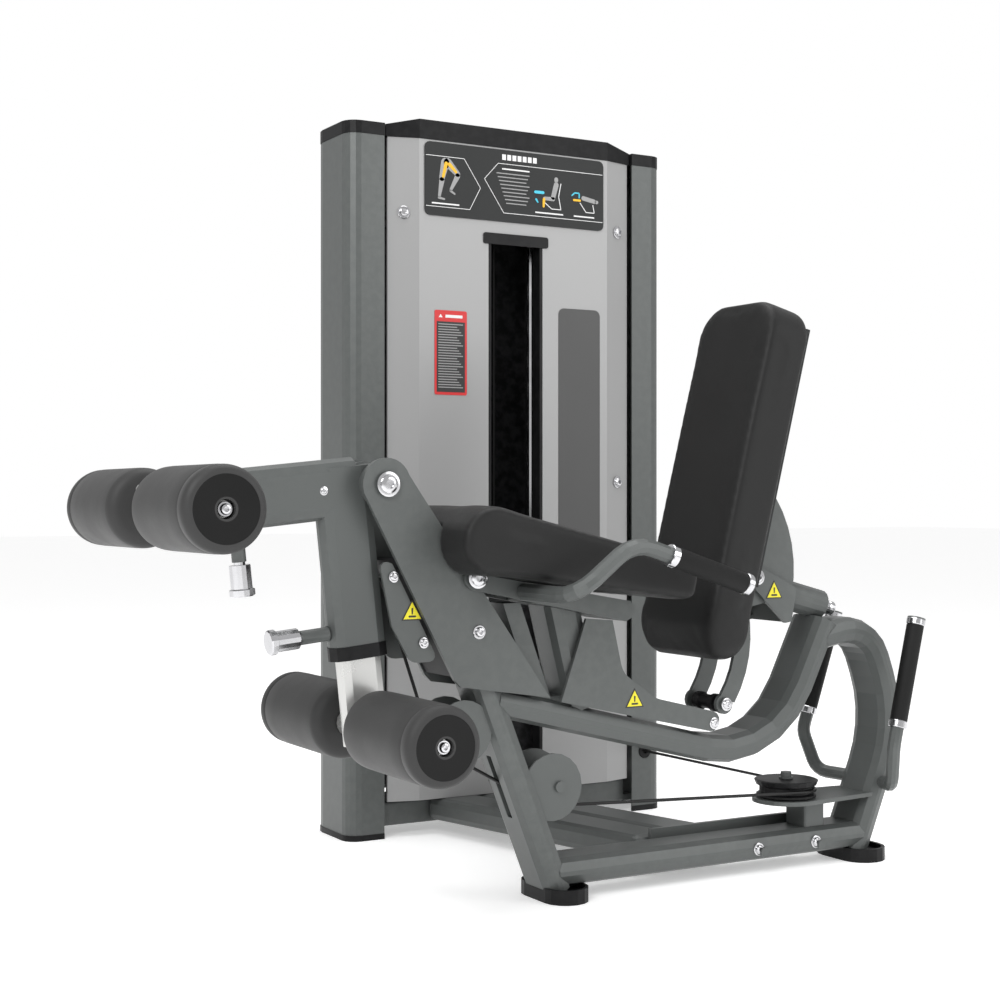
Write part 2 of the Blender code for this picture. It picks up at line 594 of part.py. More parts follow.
# ---------------------------------------------------------------- pulleys and cable
CABLE_R = 0.0030
GROOVE = 0.0360         # floor of the small pulleys' groove
RUN = CABLE_R + 0.0008  # from a groove's floor to the cable's centre
PULLEY_A = (-0.205, 0.315)
PULLEY_B = (-0.004, 0.203)
PULLEY_C = (0.540, 0.000)
PULLEY_C_Z = 0.148
PULLEY_C_R = 0.0520
TOP_Z = 1.385
TOP_LEFT_X = STACK_X + GROOVE + RUN
COLUMN_RUN_X = 0.632
TOP_RIGHT_X = COLUMN_RUN_X - GROOVE - RUN
FOOT_PULLEY = (STACK_Y - GROOVE - RUN, 0.175)


def pulley(name, centre, axis="Y", groove=GROOVE, rim=0.0045, half=0.0090, bore=0.0065):
    profile = [(bore, -half), (groove + rim, -half), (groove + rim, -half + 0.0025), (groove, -0.0036),
               (groove, 0.0036), (groove + rim, half - 0.0025), (groove + rim, half), (bore, half)]
    return turned(name, profile, centre, "black_plastic", axis, count=16, ring=True)


def fork(name, centre, outline, axis, finish="frame_paint", gap=0.0100, sheet=0.004, pin=0.0060):
    """Two cheeks either side of a pulley and the pin it turns on. The outline is in the pulley's plane."""
    c = {"Y": centre[1], "X": centre[0]}[axis]
    near = prism(name, outline, c - gap - sheet, c - gap, finish, axis)
    far = helper(prism, outline, c + gap, c + gap + sheet, finish, axis)
    profile = [(0.010, -gap - sheet - 0.005), (0.010, -gap - sheet + 0.001), (pin, -gap - sheet + 0.001),
               (pin, gap + sheet - 0.001), (0.010, gap + sheet - 0.001), (0.010, gap + sheet + 0.005)]
    return join(near, far, helper(turned, profile, centre, "chrome", axis, count=12))


def disc(centre, radius, count=20):
    return [Vector(polar(centre, radius, 360 * i / count)) for i in range(count)]


def pulleys(base):
    a, b = (PULLEY_A[0], 0, PULLEY_A[1]), (PULLEY_B[0], 0, PULLEY_B[1])
    pulley("front_pulley", a)
    pulley("rear_pulley", b)
    c = (*PULLEY_C, PULLEY_C_Z)
    profile = [(0.0085, -0.0130), (0.058, -0.0130), (0.058, -0.0090), (PULLEY_C_R, -0.0060), (PULLEY_C_R, 0.0060),
               (0.058, 0.0090), (0.0620, 0.0180), (0.0580, 0.0195), (0.0085, 0.0195)]
    turned("swivel_pulley", profile, c, "black_plastic", "Z", count=24, ring=True)
    bolt = helper(turned, [(0.0078, -0.0200), (0.0078, 0.0200), (0.014, 0.0200), (0.014, 0.0230), (0.0105, 0.0230),
                           (0.0105, 0.0330)], c, "chrome", "Z", 12)
    end = [(PULLEY_C[0] + 0.066 * math.cos(math.radians(d)), 0.066 * math.sin(math.radians(d)))
            for d in range(90, 271, 15)]
    plate = prism("pulley_bracket", [Vector(p) for p in [*end, (0.735, -0.045), (0.735, 0.045)]], 0.1240, 0.1320,
                  "frame_paint", "Z")
    join(plate, helper(block, (0.562, 0.612), (-0.030, 0.030), (0.0754, 0.1250), "frame_paint", 0.006, "Z"))
    join(plate, bolt)
    cut(plate, helper(tube, REAR_LEG, "frame_paint", grow=GAP))
    pulley("tower_pulley_left", (TOP_LEFT_X, STACK_Y, TOP_Z))
    pulley("tower_pulley_right", (TOP_RIGHT_X, STACK_Y, TOP_Z))
    pulley("tower_pulley_foot", (COLUMN_RUN_X, *FOOT_PULLEY), "X")
    cheek = [Vector(p) for p in ((0.628, 0.0204), (0.690, 0.0204), (0.672, 0.190), (0.645, 0.190))]
    join(base, helper(fork, (COLUMN_RUN_X, *FOOT_PULLEY), cheek, "X"))
    join(base, helper(block, (0.590, COLUMN_RUN_X + 0.012), (0.642, 0.688), (0.0204, 0.034), "frame_paint"))


def arc_points(centre, radius, start, end, steps=6):
    """Points of an arc in the side view, in degrees."""
    return [polar(centre, radius, start + (end - start) * i / steps) for i in range(steps + 1)]


def tangent(first, r1, second, r2):
    """Angle at which a line leaves one pulley, anticlockwise, and meets the next, on the same side of both."""
    run = Vector(second) - Vector(first)
    lean = math.asin((r2 - r1) / run.length)
    return math.degrees(math.atan2(run.y, run.x) - math.pi / 2 - lean)


def cables():
    small = GROOVE + RUN
    tie = (-0.3160, 0.5150)
    onto = tangent(tie, 0.0, PULLEY_A, small)
    across = tangent(PULLEY_A, small, PULLEY_B, small)
    side = [tie, *arc_points(PULLEY_A, small, onto, across, 6), *arc_points(PULLEY_B, small, across, -88, 3)]
    route = [Vector((x, 0, z)) for x, z in side]
    wide = PULLEY_C_R + RUN + 0.0006
    flat = [Vector((PULLEY_C[0] + wide * math.cos(math.radians(d)), wide * math.sin(math.radians(d)), PULLEY_C_Z))
            for d in range(-84, -3, 10)]
    y, z = FOOT_PULLEY
    lift = [Vector((COLUMN_RUN_X, *p)) for p in arc_points((y, z), small, -88, 0, 5)]
    over = arc_points((TOP_RIGHT_X, TOP_Z), small, 0, 90, 5) + \
                      arc_points((TOP_LEFT_X, TOP_Z), small, 90, 176, 5)
    route += flat + lift + [Vector((x, STACK_Y, h)) for x, h in over]
    sweep("drive_cable", route, circle(CABLE_R, 8), "cable", (0, 1, 0))
    rod("stack_cable", (STACK_X, STACK_Y, STACK_TOP + 0.0454),
        (STACK_X, STACK_Y, TOP_Z - 0.004), CABLE_R, "cable", 8)


# ---------------------------------------------------------------- weight tower
STACK_SPLIT = STACK_BASE + RESTING_PLATES * PLATE_PITCH
STACK_TOP = STACK_SPLIT + LIFTED_PLATES * PLATE_PITCH + 0.0250


def mirrored(points):
    return [Vector((2 * TOWER_X - x, y)) for x, y in points]


def column_plan(grow=0.0):
    """Plan of the left column's skin, round at its outer corners."""
    front, outer, back, inner = 0.6115 - grow, -0.1135 - grow, TOWER_BACK + grow, -0.0300 + grow
    corners = [((inner, back), 0), ((outer, back), 0.050 + grow),
                ((outer, front), 0.030 + grow), ((inner, front), 0)]
    return filleted(corners, 4)


def shell_plan():
    """The column's skin as a thin sheet, open towards the stack."""
    outside = column_plan()
    inside = column_plan(-0.0040)
    inside = [Vector((-0.0300, p.y)) if i in (0, len(inside) - 1) else p for i, p in enumerate(inside)]
    return outside + inside[::-1]


def tower_sides():
    for where, turn in (("left", lambda points: points), ("right", mirrored)):
        prism(f"tower_column_{where}", turn(shell_plan()), 0.0, TOWER_TOP - 0.0004, "frame_paint", "Z")
    grommet = (COLUMN_RUN_X, 0.6135, FOOT_PULLEY[1] - GROOVE - RUN)
    cut(bpy.data.objects["tower_column_right"],
        helper(turned, [(0.0115, -0.02), (0.0115, 0.02)], grommet, "frame_paint", count=14))


def tower_fronts():
    left, right = TOWER_X - PANEL_HALF, TOWER_X + PANEL_HALF
    fold_l, fold_r = 0.0460, 0.5210
    edge = TOWER_FRONT + 0.018
    plan = [(left, edge), (fold_l, TOWER_FRONT), (fold_r, TOWER_FRONT), (right, edge)]
    sheet = [Vector(p) for p in plan] + [Vector((x, y + 0.008)) for x, y in plan[::-1]]
    panel = prism("front_panel", sheet, PANEL_LOW, TOWER_TOP, "panel_paint", "Z")
    cut(panel, helper(block, SLOT_X, (0.5, 0.7), SLOT_Z, "panel_paint", 0.004))
    block("rear_panel", (left, right), (TOWER_BACK - 0.012,
          TOWER_BACK - 0.004), (PANEL_LOW, TOWER_TOP), "panel_paint")
    block("placard", (0.058, 0.509), (TOWER_FRONT - 0.0034,
          TOWER_FRONT - 0.0004), (1.314, 1.470), "dark_sheet", 0.012)
    # The middle cap: a low ridge that follows the panel's folds.
    cap_l, cap_r = left - 0.0045, right + 0.0045
    rim = [(cap_l, edge - 0.002), (fold_l, TOWER_FRONT - 0.002), (fold_r, TOWER_FRONT - 0.002), (cap_r, edge - 0.002),
           (cap_r, TOWER_BACK), (fold_r, TOWER_BACK), (fold_l, TOWER_BACK), (cap_l, TOWER_BACK)]
    low = [Vector((x, y, TOWER_TOP + 0.0004)) for x, y in rim]
    high = [Vector((x, y, 1.515 if fold_l <= x <= fold_r else 1.4995)) for x, y in rim]
    cap = loft("tower_cap", [low, high], "black_plastic")
    for turn in (lambda points: points, mirrored):
        join(cap, helper(prism, turn(column_plan(0.0010)), TOWER_TOP, 1.5000, "black_plastic", "Z"))
    join(cap, helper(block, (-0.060, 0.627), (0.640, 0.780), (TOWER_TOP + 0.0006, 1.4900), "black_plastic"))


def tower_inside():
    left, right = -0.0240, 0.5910
    base = block("tower_base", (left, right), (0.6400, 0.7600), (0.0200, 0.0716), "frame_paint", 0.006, "X")
    join(base, helper(block, (STACK_X - 0.06, STACK_X + 0.06), (STACK_Y - 0.03, STACK_Y + 0.03),
                      (0.0700, STACK_BASE + 0.0006), "black_plastic", 0.008, "Z"))
    beam = block("top_beam", (left, right), (0.6600, 0.7340), (1.3180, 1.3380), "frame_paint")
    for x in (TOP_LEFT_X, TOP_RIGHT_X):
        cheek = [Vector(p) for p in ((x - 0.014, 1.333), (x + 0.014, 1.333),
                        (x + 0.014, 1.398), (x - 0.014, 1.398))]
        join(beam, helper(fork, (x, STACK_Y, TOP_Z), cheek, "Y"))
    cut(beam, helper(rod, (STACK_X, STACK_Y, 1.30), (STACK_X, STACK_Y, 1.345), 0.008, "frame_paint", 12))
    for where, x in (("left", STACK_X - ROD_SPREAD), ("right", STACK_X + ROD_SPREAD)):
        rod(f"guide_rod_{where}", (x, STACK_Y, 0.0720), (x, STACK_Y, 1.3176), ROD_R, "chrome", 16)
    return base


def plates(name, low, count, bore):
    """A run of weight plates drawn as one comb, with holes for the guide rods and the selector rod."""
    half, depth, step = 0.1300, 0.0550, PLATE_PITCH
    right, left = [], []
    for i in range(count):
        z0, z1 = low + i * step + 0.0010, low + (i + 1) * step - 0.0010
        right += [(STACK_X + half, z0), (STACK_X + half, z1)]
        left += [(STACK_X - half, z0), (STACK_X - half, z1)]
        if i < count - 1:
            right += [(STACK_X + half - 0.004, z1), (STACK_X + half - 0.004, z1 + 0.002)]
            left += [(STACK_X - half + 0.004, z1), (STACK_X - half + 0.004, z1 + 0.002)]
    outline = [Vector(p) for p in right + left[::-1]]
    made = prism(name, outline, STACK_Y - depth, STACK_Y + depth, "black_iron")
    top = low + count * step + 0.01
    cuts = [(STACK_X - ROD_SPREAD, ROD_R + 0.002), (STACK_X + ROD_SPREAD, ROD_R + 0.002), (STACK_X, bore)]
    return cut(made, *[helper(rod, (x, STACK_Y, low - 0.01), (x, STACK_Y, top), r, "black_iron", 14) for x, r in cuts])


def weights():
    plates("resting_plates", STACK_BASE, RESTING_PLATES, 0.0115)
    plates("lifted_plates", STACK_SPLIT, LIFTED_PLATES, 0.0094)
    low = STACK_TOP - 0.0250
    top = block("top_plate", (STACK_X - 0.13, STACK_X + 0.13), (STACK_Y - 0.055, STACK_Y + 0.055),
                (low - 0.0004, STACK_TOP), "black_iron")
    stem = [(0.0090, STACK_BASE + 0.020), (0.0090, low + 0.01), (0.016, low + 0.01), (0.016, STACK_TOP + 0.03),
            (0.009, STACK_TOP + 0.045)]
    join(top, helper(turned, stem, (STACK_X, STACK_Y, 0), "steel", "Z", 14))
    cut(top, *[helper(rod, (x, STACK_Y, low - 0.05), (x, STACK_Y, STACK_TOP + 0.05), ROD_R + 0.002, "black_iron", 14)
               for x in (STACK_X - ROD_SPREAD, STACK_X + ROD_SPREAD)])
    z = STACK_SPLIT + PLATE_PITCH / 2
    front = STACK_Y - 0.055
    turned("selector_pin", [(0.0140, front - 0.030), (0.0140, front - 0.012), (0.008, front - 0.008), (0.0042, front - 0.006),
                            (0.0042, front + 0.030)], (STACK_X, 0, z), "chrome", count=14)
    cut(bpy.data.objects["lifted_plates"], helper(turned, [(0.0047, front - 0.02), (0.0047, front + 0.0320)],
                                                  (STACK_X, 0, z), "black_iron", count=12))


def joint_places():
    """Each moving group of pieces, and the point of its joint's axis that the group hangs on."""
    upper, lower = (UPPER_AXLE[0], 0, UPPER_AXLE[1]), (LOWER_AXLE[0], 0, LOWER_AXLE[1])
    places = {
        "arm_axis": ((PIVOT[0], 0, PIVOT[1]), ["leg_arm", "arm_collar", "upper_pull_pin", "lower_pull_pin"]),
        "upper_roller_axis": (upper, ["upper_carriage", "upper_roller_near", "upper_roller_far"]),
        "lower_roller_axis": (lower, ["lower_carriage", "lower_roller_near", "lower_roller_far"]),
        "backrest_axis": ((BACK_HINGE[0], 0, BACK_HINGE[1]),
                          ["back_pad", "back_board", "back_carrier", "stop_spool"]),
        "back_pin_axis": ((HOUSING[0][0], 0, HOUSING[0][1]), ["back_pull_pin"]),
        "stack_axis": ((STACK_X, STACK_Y, STACK_SPLIT), ["lifted_plates", "top_plate", "selector_pin"]),
        "front_pulley_axis": ((PULLEY_A[0], 0, PULLEY_A[1]), ["front_pulley"]),
        "rear_pulley_axis": ((PULLEY_B[0], 0, PULLEY_B[1]), ["rear_pulley"]),
        "swivel_pulley_axis": ((*PULLEY_C, PULLEY_C_Z), ["swivel_pulley"]),
        "tower_left_axis": ((TOP_LEFT_X, STACK_Y, TOP_Z), ["tower_pulley_left"]),
        "tower_right_axis": ((TOP_RIGHT_X, STACK_Y, TOP_Z), ["tower_pulley_right"]),
        "tower_foot_axis": ((COLUMN_RUN_X, *FOOT_PULLEY), ["tower_pulley_foot"]),
    }
    return places


def centre_on_floor():
    """Hangs each moving group on an empty on its joint's axis, and all of it on one root empty.

    The root then moves so that the origin is the bottom centre of the machine's box.
    """
    bpy.context.view_layer.update()
    shown = [thing for thing in bpy.data.objects if not thing.hide_render]
    corners = [Vector(corner) for thing in shown for corner in thing.bound_box]
    low = [min(corner[i] for corner in corners) for i in range(3)]
    high = [max(corner[i] for corner in corners) for i in range(3)]
    root = bpy.data.objects.new("leg_machine", None)
    bpy.context.collection.objects.link(root)
    for thing in list(bpy.data.objects):
        if thing is not root:
            thing.parent = root
    for name, (place, members) in joint_places().items():
        axis = bpy.data.objects.new(name, None)
        bpy.context.collection.objects.link(axis)
        axis.parent = root
        axis.location = place
        for member in members:
            thing = bpy.data.objects[member]
            thing.parent = axis
            thing.location -= Vector(place)
    root.location = (-(low[0] + high[0]) / 2, -(low[1] + high[1]) / 2, -low[2])


def build():
    clear_scene()
    base_frame()
    pivot_plates()
    cable_guards()
    roller_arm()
    seat()
    for where, side in (("near", -1), ("far", 1)):
        side_handle(where, side)
        rear_handle(where, side)
    back_pad()
    back_bracket()
    pulleys(tower_inside())
    cables()
    tower_sides()
    tower_fronts()
    weights()
    centre_on_floor()


build()
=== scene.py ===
# %% [markdown]
# # A selectorised leg machine
# The machine is a steel frame with a seat, a reclining back pad, a swinging arm with four foam rollers and
# a tower that holds the weight stack. The solid model gives its structure and every moving body. This
# script adds what a camera sees: upholstery, foam, bolts, labels, and a finish on every surface.

# %% Load the solid model
import json
import math

import bmesh
import bpy
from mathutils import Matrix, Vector


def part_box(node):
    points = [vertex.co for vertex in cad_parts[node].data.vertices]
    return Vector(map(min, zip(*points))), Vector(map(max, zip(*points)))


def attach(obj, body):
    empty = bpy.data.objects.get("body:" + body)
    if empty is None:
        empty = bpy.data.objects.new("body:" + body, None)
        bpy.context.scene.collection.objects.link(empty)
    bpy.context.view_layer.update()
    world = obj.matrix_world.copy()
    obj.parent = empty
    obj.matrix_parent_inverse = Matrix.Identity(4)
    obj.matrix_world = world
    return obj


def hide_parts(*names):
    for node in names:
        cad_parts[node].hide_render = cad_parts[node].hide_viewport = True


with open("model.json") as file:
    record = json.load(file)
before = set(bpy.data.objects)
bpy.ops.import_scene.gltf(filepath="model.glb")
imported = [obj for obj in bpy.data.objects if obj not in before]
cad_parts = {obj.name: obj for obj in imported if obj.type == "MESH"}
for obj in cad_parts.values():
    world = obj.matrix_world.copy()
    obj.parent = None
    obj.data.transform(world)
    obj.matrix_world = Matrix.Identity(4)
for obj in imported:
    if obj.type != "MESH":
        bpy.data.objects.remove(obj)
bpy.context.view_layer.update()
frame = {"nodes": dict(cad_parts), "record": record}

# %% [markdown]
# ## Where things are
# The designer drew the machine from the centre of its front foot. The solid model stands on the centre of
# its whole box instead, so one offset turns the designer's figures into places in the scene. It could be a
# typed number, but reading it from the foot's own box keeps it right if the model ever moves.

# %% The front foot's centre
FOOT_BEHIND = 0.009      # the middle of the foot's box lies this far behind the designer's zero
foot_low, foot_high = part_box("front_foot")
FOOT_CENTRE = Vector(((foot_low.x + foot_high.x) / 2 - FOOT_BEHIND, (foot_low.y + foot_high.y) / 2, 0))


def at(x, y, z):
    """A point given from the front foot's centre."""
    return FOOT_CENTRE + Vector((x, y, z))


def polar(x, z, radius, degrees):
    turn = math.radians(degrees)
    return x + radius * math.cos(turn), z + radius * math.sin(turn)


print("front foot centre:", [round(value, 4) for value in FOOT_CENTRE])

# %% [markdown]
# ## Colours and the shared surface effects
# Powder coat, foam skin and vinyl all have a fine grain and a slow change of tone over the surface. Each
# effect could be wired again in each material. Built once as a node group with named sockets, it is the
# same effect everywhere, and a material only sets its own scale and strength.


# %% Colours
def srgb(red, green, blue):
    """A colour given as 0 to 255 values, turned into the linear values that shaders take."""
    shares = [value / 255 for value in (red, green, blue)]
    linear = [s / 12.92 if s <= 0.04045 else ((s + 0.055) / 1.055) ** 2.4 for s in shares]
    return (*linear, 1.0)


# %% [markdown]
# The tone group mixes a second colour in by soft noise, and the roughness drifts with the same noise.
# The grain group gives a height: small pebbles for vinyl, or the orange peel of powder coat.
# The wear group shows a lighter metal where a convex edge is rubbed, and it reads the edge from the mesh.


# %% Node groups
def new_group(name, inputs, outputs):
    group = bpy.data.node_groups.new(name, "ShaderNodeTree")
    for label, kind, value in inputs:
        socket = group.interface.new_socket(label, in_out="INPUT", socket_type=kind)
        socket.default_value = value
    for label, kind in outputs:
        group.interface.new_socket(label, in_out="OUTPUT", socket_type=kind)
    start = group.nodes.new("NodeGroupInput")
    end = group.nodes.new("NodeGroupOutput")
    return group, start.outputs, end.inputs


def noise(tree, vector, scale, detail=4.0, roughness=0.55):
    """A noise texture on object coordinates. Its scale is a number or a socket."""
    node = tree.nodes.new("ShaderNodeTexNoise")
    tree.links.new(vector, node.inputs["Vector"])
    if isinstance(scale, (int, float)):
        node.inputs["Scale"].default_value = scale
    else:
        tree.links.new(scale, node.inputs["Scale"])
    node.inputs["Detail"].default_value = detail
    node.inputs["Roughness"].default_value = roughness
    return node.outputs["Fac"]


def remap(tree, value, low, high, to_low, to_high):
    node = tree.nodes.new("ShaderNodeMapRange")
    tree.links.new(value, node.inputs["Value"])
    for label, number in (("From Min", low), ("From Max", high), ("To Min", to_low), ("To Max", to_high)):
        node.inputs[label].default_value = number
    return node.outputs["Result"]


def sums(tree, operation, first, second):
    """One Math node. Each side is a number or a socket."""
    node = tree.nodes.new("ShaderNodeMath")
    node.operation = operation
    for index, side in enumerate((first, second)):
        if isinstance(side, (int, float)):
            node.inputs[index].default_value = side
        else:
            tree.links.new(side, node.inputs[index])
    return node.outputs[0]


def mixed(tree, factor, first, second):
    """One colour mix. A side is a colour or a socket."""
    node = tree.nodes.new("ShaderNodeMix")
    node.data_type = "RGBA"
    tree.links.new(factor, node.inputs["Factor"])
    for socket, side in ((node.inputs[6], first), (node.inputs[7], second)):
        if isinstance(side, tuple):
            socket.default_value = side
        else:
            tree.links.new(side, socket)
    return node.outputs[2]


def object_place(tree):
    return tree.nodes.new("ShaderNodeTexCoord").outputs["Object"]


def make_tone_group():
    """Colour and roughness that drift over the surface."""
    group, given, made = new_group(
        "surface_tone",
        [("Colour", "NodeSocketColor", (0.1, 0.1, 0.1, 1)),
         ("Second", "NodeSocketColor", (0.2, 0.2, 0.2, 1)),
         ("Amount", "NodeSocketFloat", 0.3), ("Scale", "NodeSocketFloat", 6.0),
         ("Roughness", "NodeSocketFloat", 0.5), ("Roughness Change", "NodeSocketFloat", 0.1)],
        [("Colour", "NodeSocketColor"), ("Roughness", "NodeSocketFloat")])
    place = object_place(group)
    broad = remap(group, noise(group, place, given["Scale"]), 0.35, 0.65, 0.0, 1.0)
    fine = remap(group, noise(group, place, 420.0, 2.0), 0.3, 0.7, 0.0, 1.0)
    share = sums(group, "MULTIPLY", sums(group, "ADD", sums(group, "MULTIPLY", broad, 0.7),
                                         sums(group, "MULTIPLY", fine, 0.3)), given["Amount"])
    group.links.new(mixed(group, share, given["Colour"], given["Second"]), made["Colour"])
    drift = sums(group, "MULTIPLY", sums(group, "SUBTRACT", broad, 0.5), given["Roughness Change"])
    group.links.new(sums(group, "ADD", given["Roughness"], drift), made["Roughness"])
    return group


def make_grain_group():
    """A height between 0 and 1: cells for a pressed leather grain, noise for paint."""
    group, given, made = new_group(
        "surface_grain",
        [("Scale", "NodeSocketFloat", 500.0), ("Pebbles", "NodeSocketFloat", 0.0)],
        [("Height", "NodeSocketFloat")])
    place = object_place(group)
    soft = noise(group, place, given["Scale"], 3.0)
    cells = group.nodes.new("ShaderNodeTexVoronoi")
    cells.feature = "DISTANCE_TO_EDGE"
    group.links.new(place, cells.inputs["Vector"])
    group.links.new(given["Scale"], cells.inputs["Scale"])
    pebbles = remap(group, cells.outputs["Distance"], 0.0, 0.25, 0.0, 1.0)
    rest = sums(group, "SUBTRACT", 1.0, given["Pebbles"])
    height = sums(group, "ADD", sums(group, "MULTIPLY", soft, rest),
                  sums(group, "MULTIPLY", pebbles, given["Pebbles"]))
    group.links.new(height, made["Height"])
    return group


def make_wear_group():
    """A colour that gives way to another on rubbed convex edges, broken up by noise, and the mask of it."""
    group, given, made = new_group(
        "edge_wear",
        [("Colour", "NodeSocketColor", (0.1, 0.1, 0.1, 1)),
         ("Worn", "NodeSocketColor", (0.3, 0.3, 0.3, 1)),
         ("Amount", "NodeSocketFloat", 0.5)],
        [("Colour", "NodeSocketColor"), ("Mask", "NodeSocketFloat")])
    edge = group.nodes.new("ShaderNodeNewGeometry").outputs["Pointiness"]
    edge = remap(group, edge, 0.52, 0.62, 0.0, 1.0)
    broken = remap(group, noise(group, object_place(group), 60.0, 5.0), 0.40, 0.62, 0.0, 1.0)
    mask = sums(group, "MULTIPLY", sums(group, "MULTIPLY", edge, broken), given["Amount"])
    group.links.new(mixed(group, mask, given["Colour"], given["Worn"]), made["Colour"])
    group.links.new(mask, made["Mask"])
    return group


TONE, GRAIN, WEAR = make_tone_group(), make_grain_group(), make_wear_group()
print("node groups:", [group.name for group in (TONE, GRAIN, WEAR)])

# %% [markdown]
# ## One recipe for the opaque finishes
# Paint, vinyl, foam, plastic, iron and plated steel differ in colour, gloss, metal and grain, and not in
# how they are wired. One function wires the three groups into a Principled shader, and each finish is a
# short call with its own numbers. The shader itself stays in the material.


# %% The finish recipe
def use_group(tree, group, **values):
    node = tree.nodes.new("ShaderNodeGroup")
    node.node_tree = group
    for label, value in values.items():
        node.inputs[label.replace("_", " ")].default_value = value
    return node


def finish(name, colour, second, roughness, metal=0.0, amount=0.3, tone_scale=6.0, drift=0.1,
           grain=500.0, pebbles=0.0, bump=0.1, depth=0.0004, worn=None, wear=0.0, coat=0.0, sheen=0.0,
           shine=0.5):
    """A procedural opaque finish from the shared groups."""
    made = bpy.data.materials.new(name)
    made.use_nodes = True
    tree = made.node_tree
    shader = tree.nodes["Principled BSDF"]
    tone = use_group(tree, TONE, Colour=colour, Second=second, Amount=amount, Scale=tone_scale,
                     Roughness=roughness, Roughness_Change=drift)
    edge = use_group(tree, WEAR, Worn=worn or second, Amount=wear)
    tree.links.new(tone.outputs["Colour"], edge.inputs["Colour"])
    tree.links.new(edge.outputs["Colour"], shader.inputs["Base Color"])
    tree.links.new(tone.outputs["Roughness"], shader.inputs["Roughness"])
    height = use_group(tree, GRAIN, Scale=grain, Pebbles=pebbles)
    relief = tree.nodes.new("ShaderNodeBump")
    relief.inputs["Strength"].default_value = bump
    relief.inputs["Distance"].default_value = depth
    tree.links.new(height.outputs["Height"], relief.inputs["Height"])
    tree.links.new(relief.outputs["Normal"], shader.inputs["Normal"])
    shader.inputs["Metallic"].default_value = metal
    shader.inputs["Coat Weight"].default_value = coat
    shader.inputs["Coat Roughness"].default_value = 0.25
    shader.inputs["Sheen Weight"].default_value = sheen
    shader.inputs["Specular IOR Level"].default_value = shine
    return made


# %% [markdown]
# ## The finishes
# The frame is dark grey powder coat: satin, slightly warm, with an orange peel that shows only in its
# highlights. The tower's front is a lighter silver grey. Pads are black vinyl with a pressed leather grain,
# and the rollers are foam with a smooth dark skin. Bolts, pins and rings are chrome.

# %% Make the finishes
FINISHES = {
    "frame_paint": finish("frame_paint", srgb(84, 87, 86), srgb(88, 91, 90), 0.40, metal=0.20, amount=0.25,
                          tone_scale=3.0, drift=0.05, grain=900.0, bump=0.10, worn=srgb(112, 115, 113),
                          wear=0.15, coat=0.10, shine=0.4),
    "panel_paint": finish("panel_paint", srgb(150, 150, 150), srgb(156, 156, 156), 0.36, metal=0.15,
                          amount=0.4, tone_scale=2.0, drift=0.04, grain=1200.0, bump=0.05, coat=0.10),
    "vinyl": finish("vinyl", srgb(21, 21, 21), srgb(29, 29, 29), 0.46, amount=0.6, tone_scale=9.0,
                    drift=0.10, grain=520.0, pebbles=0.8, bump=0.30, depth=0.0005, sheen=0.03, shine=0.25),
    "roller_foam": finish("roller_foam", srgb(50, 50, 50), srgb(58, 58, 58), 0.52, amount=0.5, grain=1400.0,
                          tone_scale=12.0, bump=0.20, depth=0.0004, sheen=0.05, shine=0.25),
    "black_plastic": finish("black_plastic", srgb(15, 15, 16), srgb(22, 22, 23), 0.42, amount=0.5,
                            grain=1100.0, bump=0.12, worn=srgb(50, 50, 51), wear=0.15, shine=0.2),
    "dark_sheet": finish("dark_sheet", srgb(46, 47, 47), srgb(51, 52, 52), 0.5, amount=0.4, grain=900.0,
                         bump=0.04, shine=0.2),
    "chrome": finish("chrome", srgb(205, 205, 207), srgb(190, 190, 193), 0.16, metal=1.0, amount=0.3,
                     tone_scale=30.0, drift=0.10, grain=300.0, bump=0.03),
    "steel": finish("steel", srgb(196, 196, 194), srgb(206, 206, 204), 0.28, metal=0.75, amount=0.3,
                    tone_scale=4.0, drift=0.04, grain=700.0, bump=0.05),
    "black_iron": finish("black_iron", srgb(11, 11, 12), srgb(19, 19, 20), 0.5, metal=0.1, amount=0.7,
                         grain=380.0, bump=0.3, worn=srgb(60, 60, 62), wear=0.4, shine=0.25),
    "cable": finish("cable", srgb(14, 14, 14), srgb(24, 24, 24), 0.38, amount=0.5, grain=900.0, bump=0.2,
                    shine=0.3),
}
GRIP = finish("grip_rubber", srgb(14, 14, 14), srgb(22, 22, 22), 0.60, amount=0.5, grain=700.0,
              pebbles=0.6, bump=0.35, depth=0.0006, shine=0.25)
INSET = finish("panel_inset", srgb(78, 78, 78), srgb(83, 83, 83), 0.45, amount=0.4, grain=900.0, bump=0.05,
               shine=0.3)
ROLLER_END = finish("roller_end", srgb(15, 15, 15), srgb(23, 23, 23), 0.46, amount=0.5, grain=800.0,
                    bump=0.15, shine=0.2)
INKS = {
    "white": finish("ink_white", srgb(226, 226, 226), srgb(214, 214, 214), 0.5, amount=0.4, bump=0.02),
    "grey": finish("ink_grey", srgb(150, 150, 150), srgb(140, 140, 140), 0.5, amount=0.4, bump=0.02),
    "black": finish("ink_black", srgb(36, 36, 36), srgb(44, 44, 44), 0.5, amount=0.4, bump=0.02),
    "red": finish("ink_red", srgb(200, 38, 40), srgb(190, 34, 36), 0.42, amount=0.4, bump=0.02),
    "yellow": finish("ink_yellow", srgb(226, 214, 40), srgb(214, 202, 34), 0.42, amount=0.4, bump=0.02),
    "orange": finish("ink_orange", srgb(232, 178, 30), srgb(222, 168, 26), 0.45, amount=0.4, bump=0.02),
    "cyan": finish("ink_cyan", srgb(70, 190, 214), srgb(60, 178, 204), 0.45, amount=0.4, bump=0.02),
}
print("finishes:", len(FINISHES) + len(INKS) + 3)
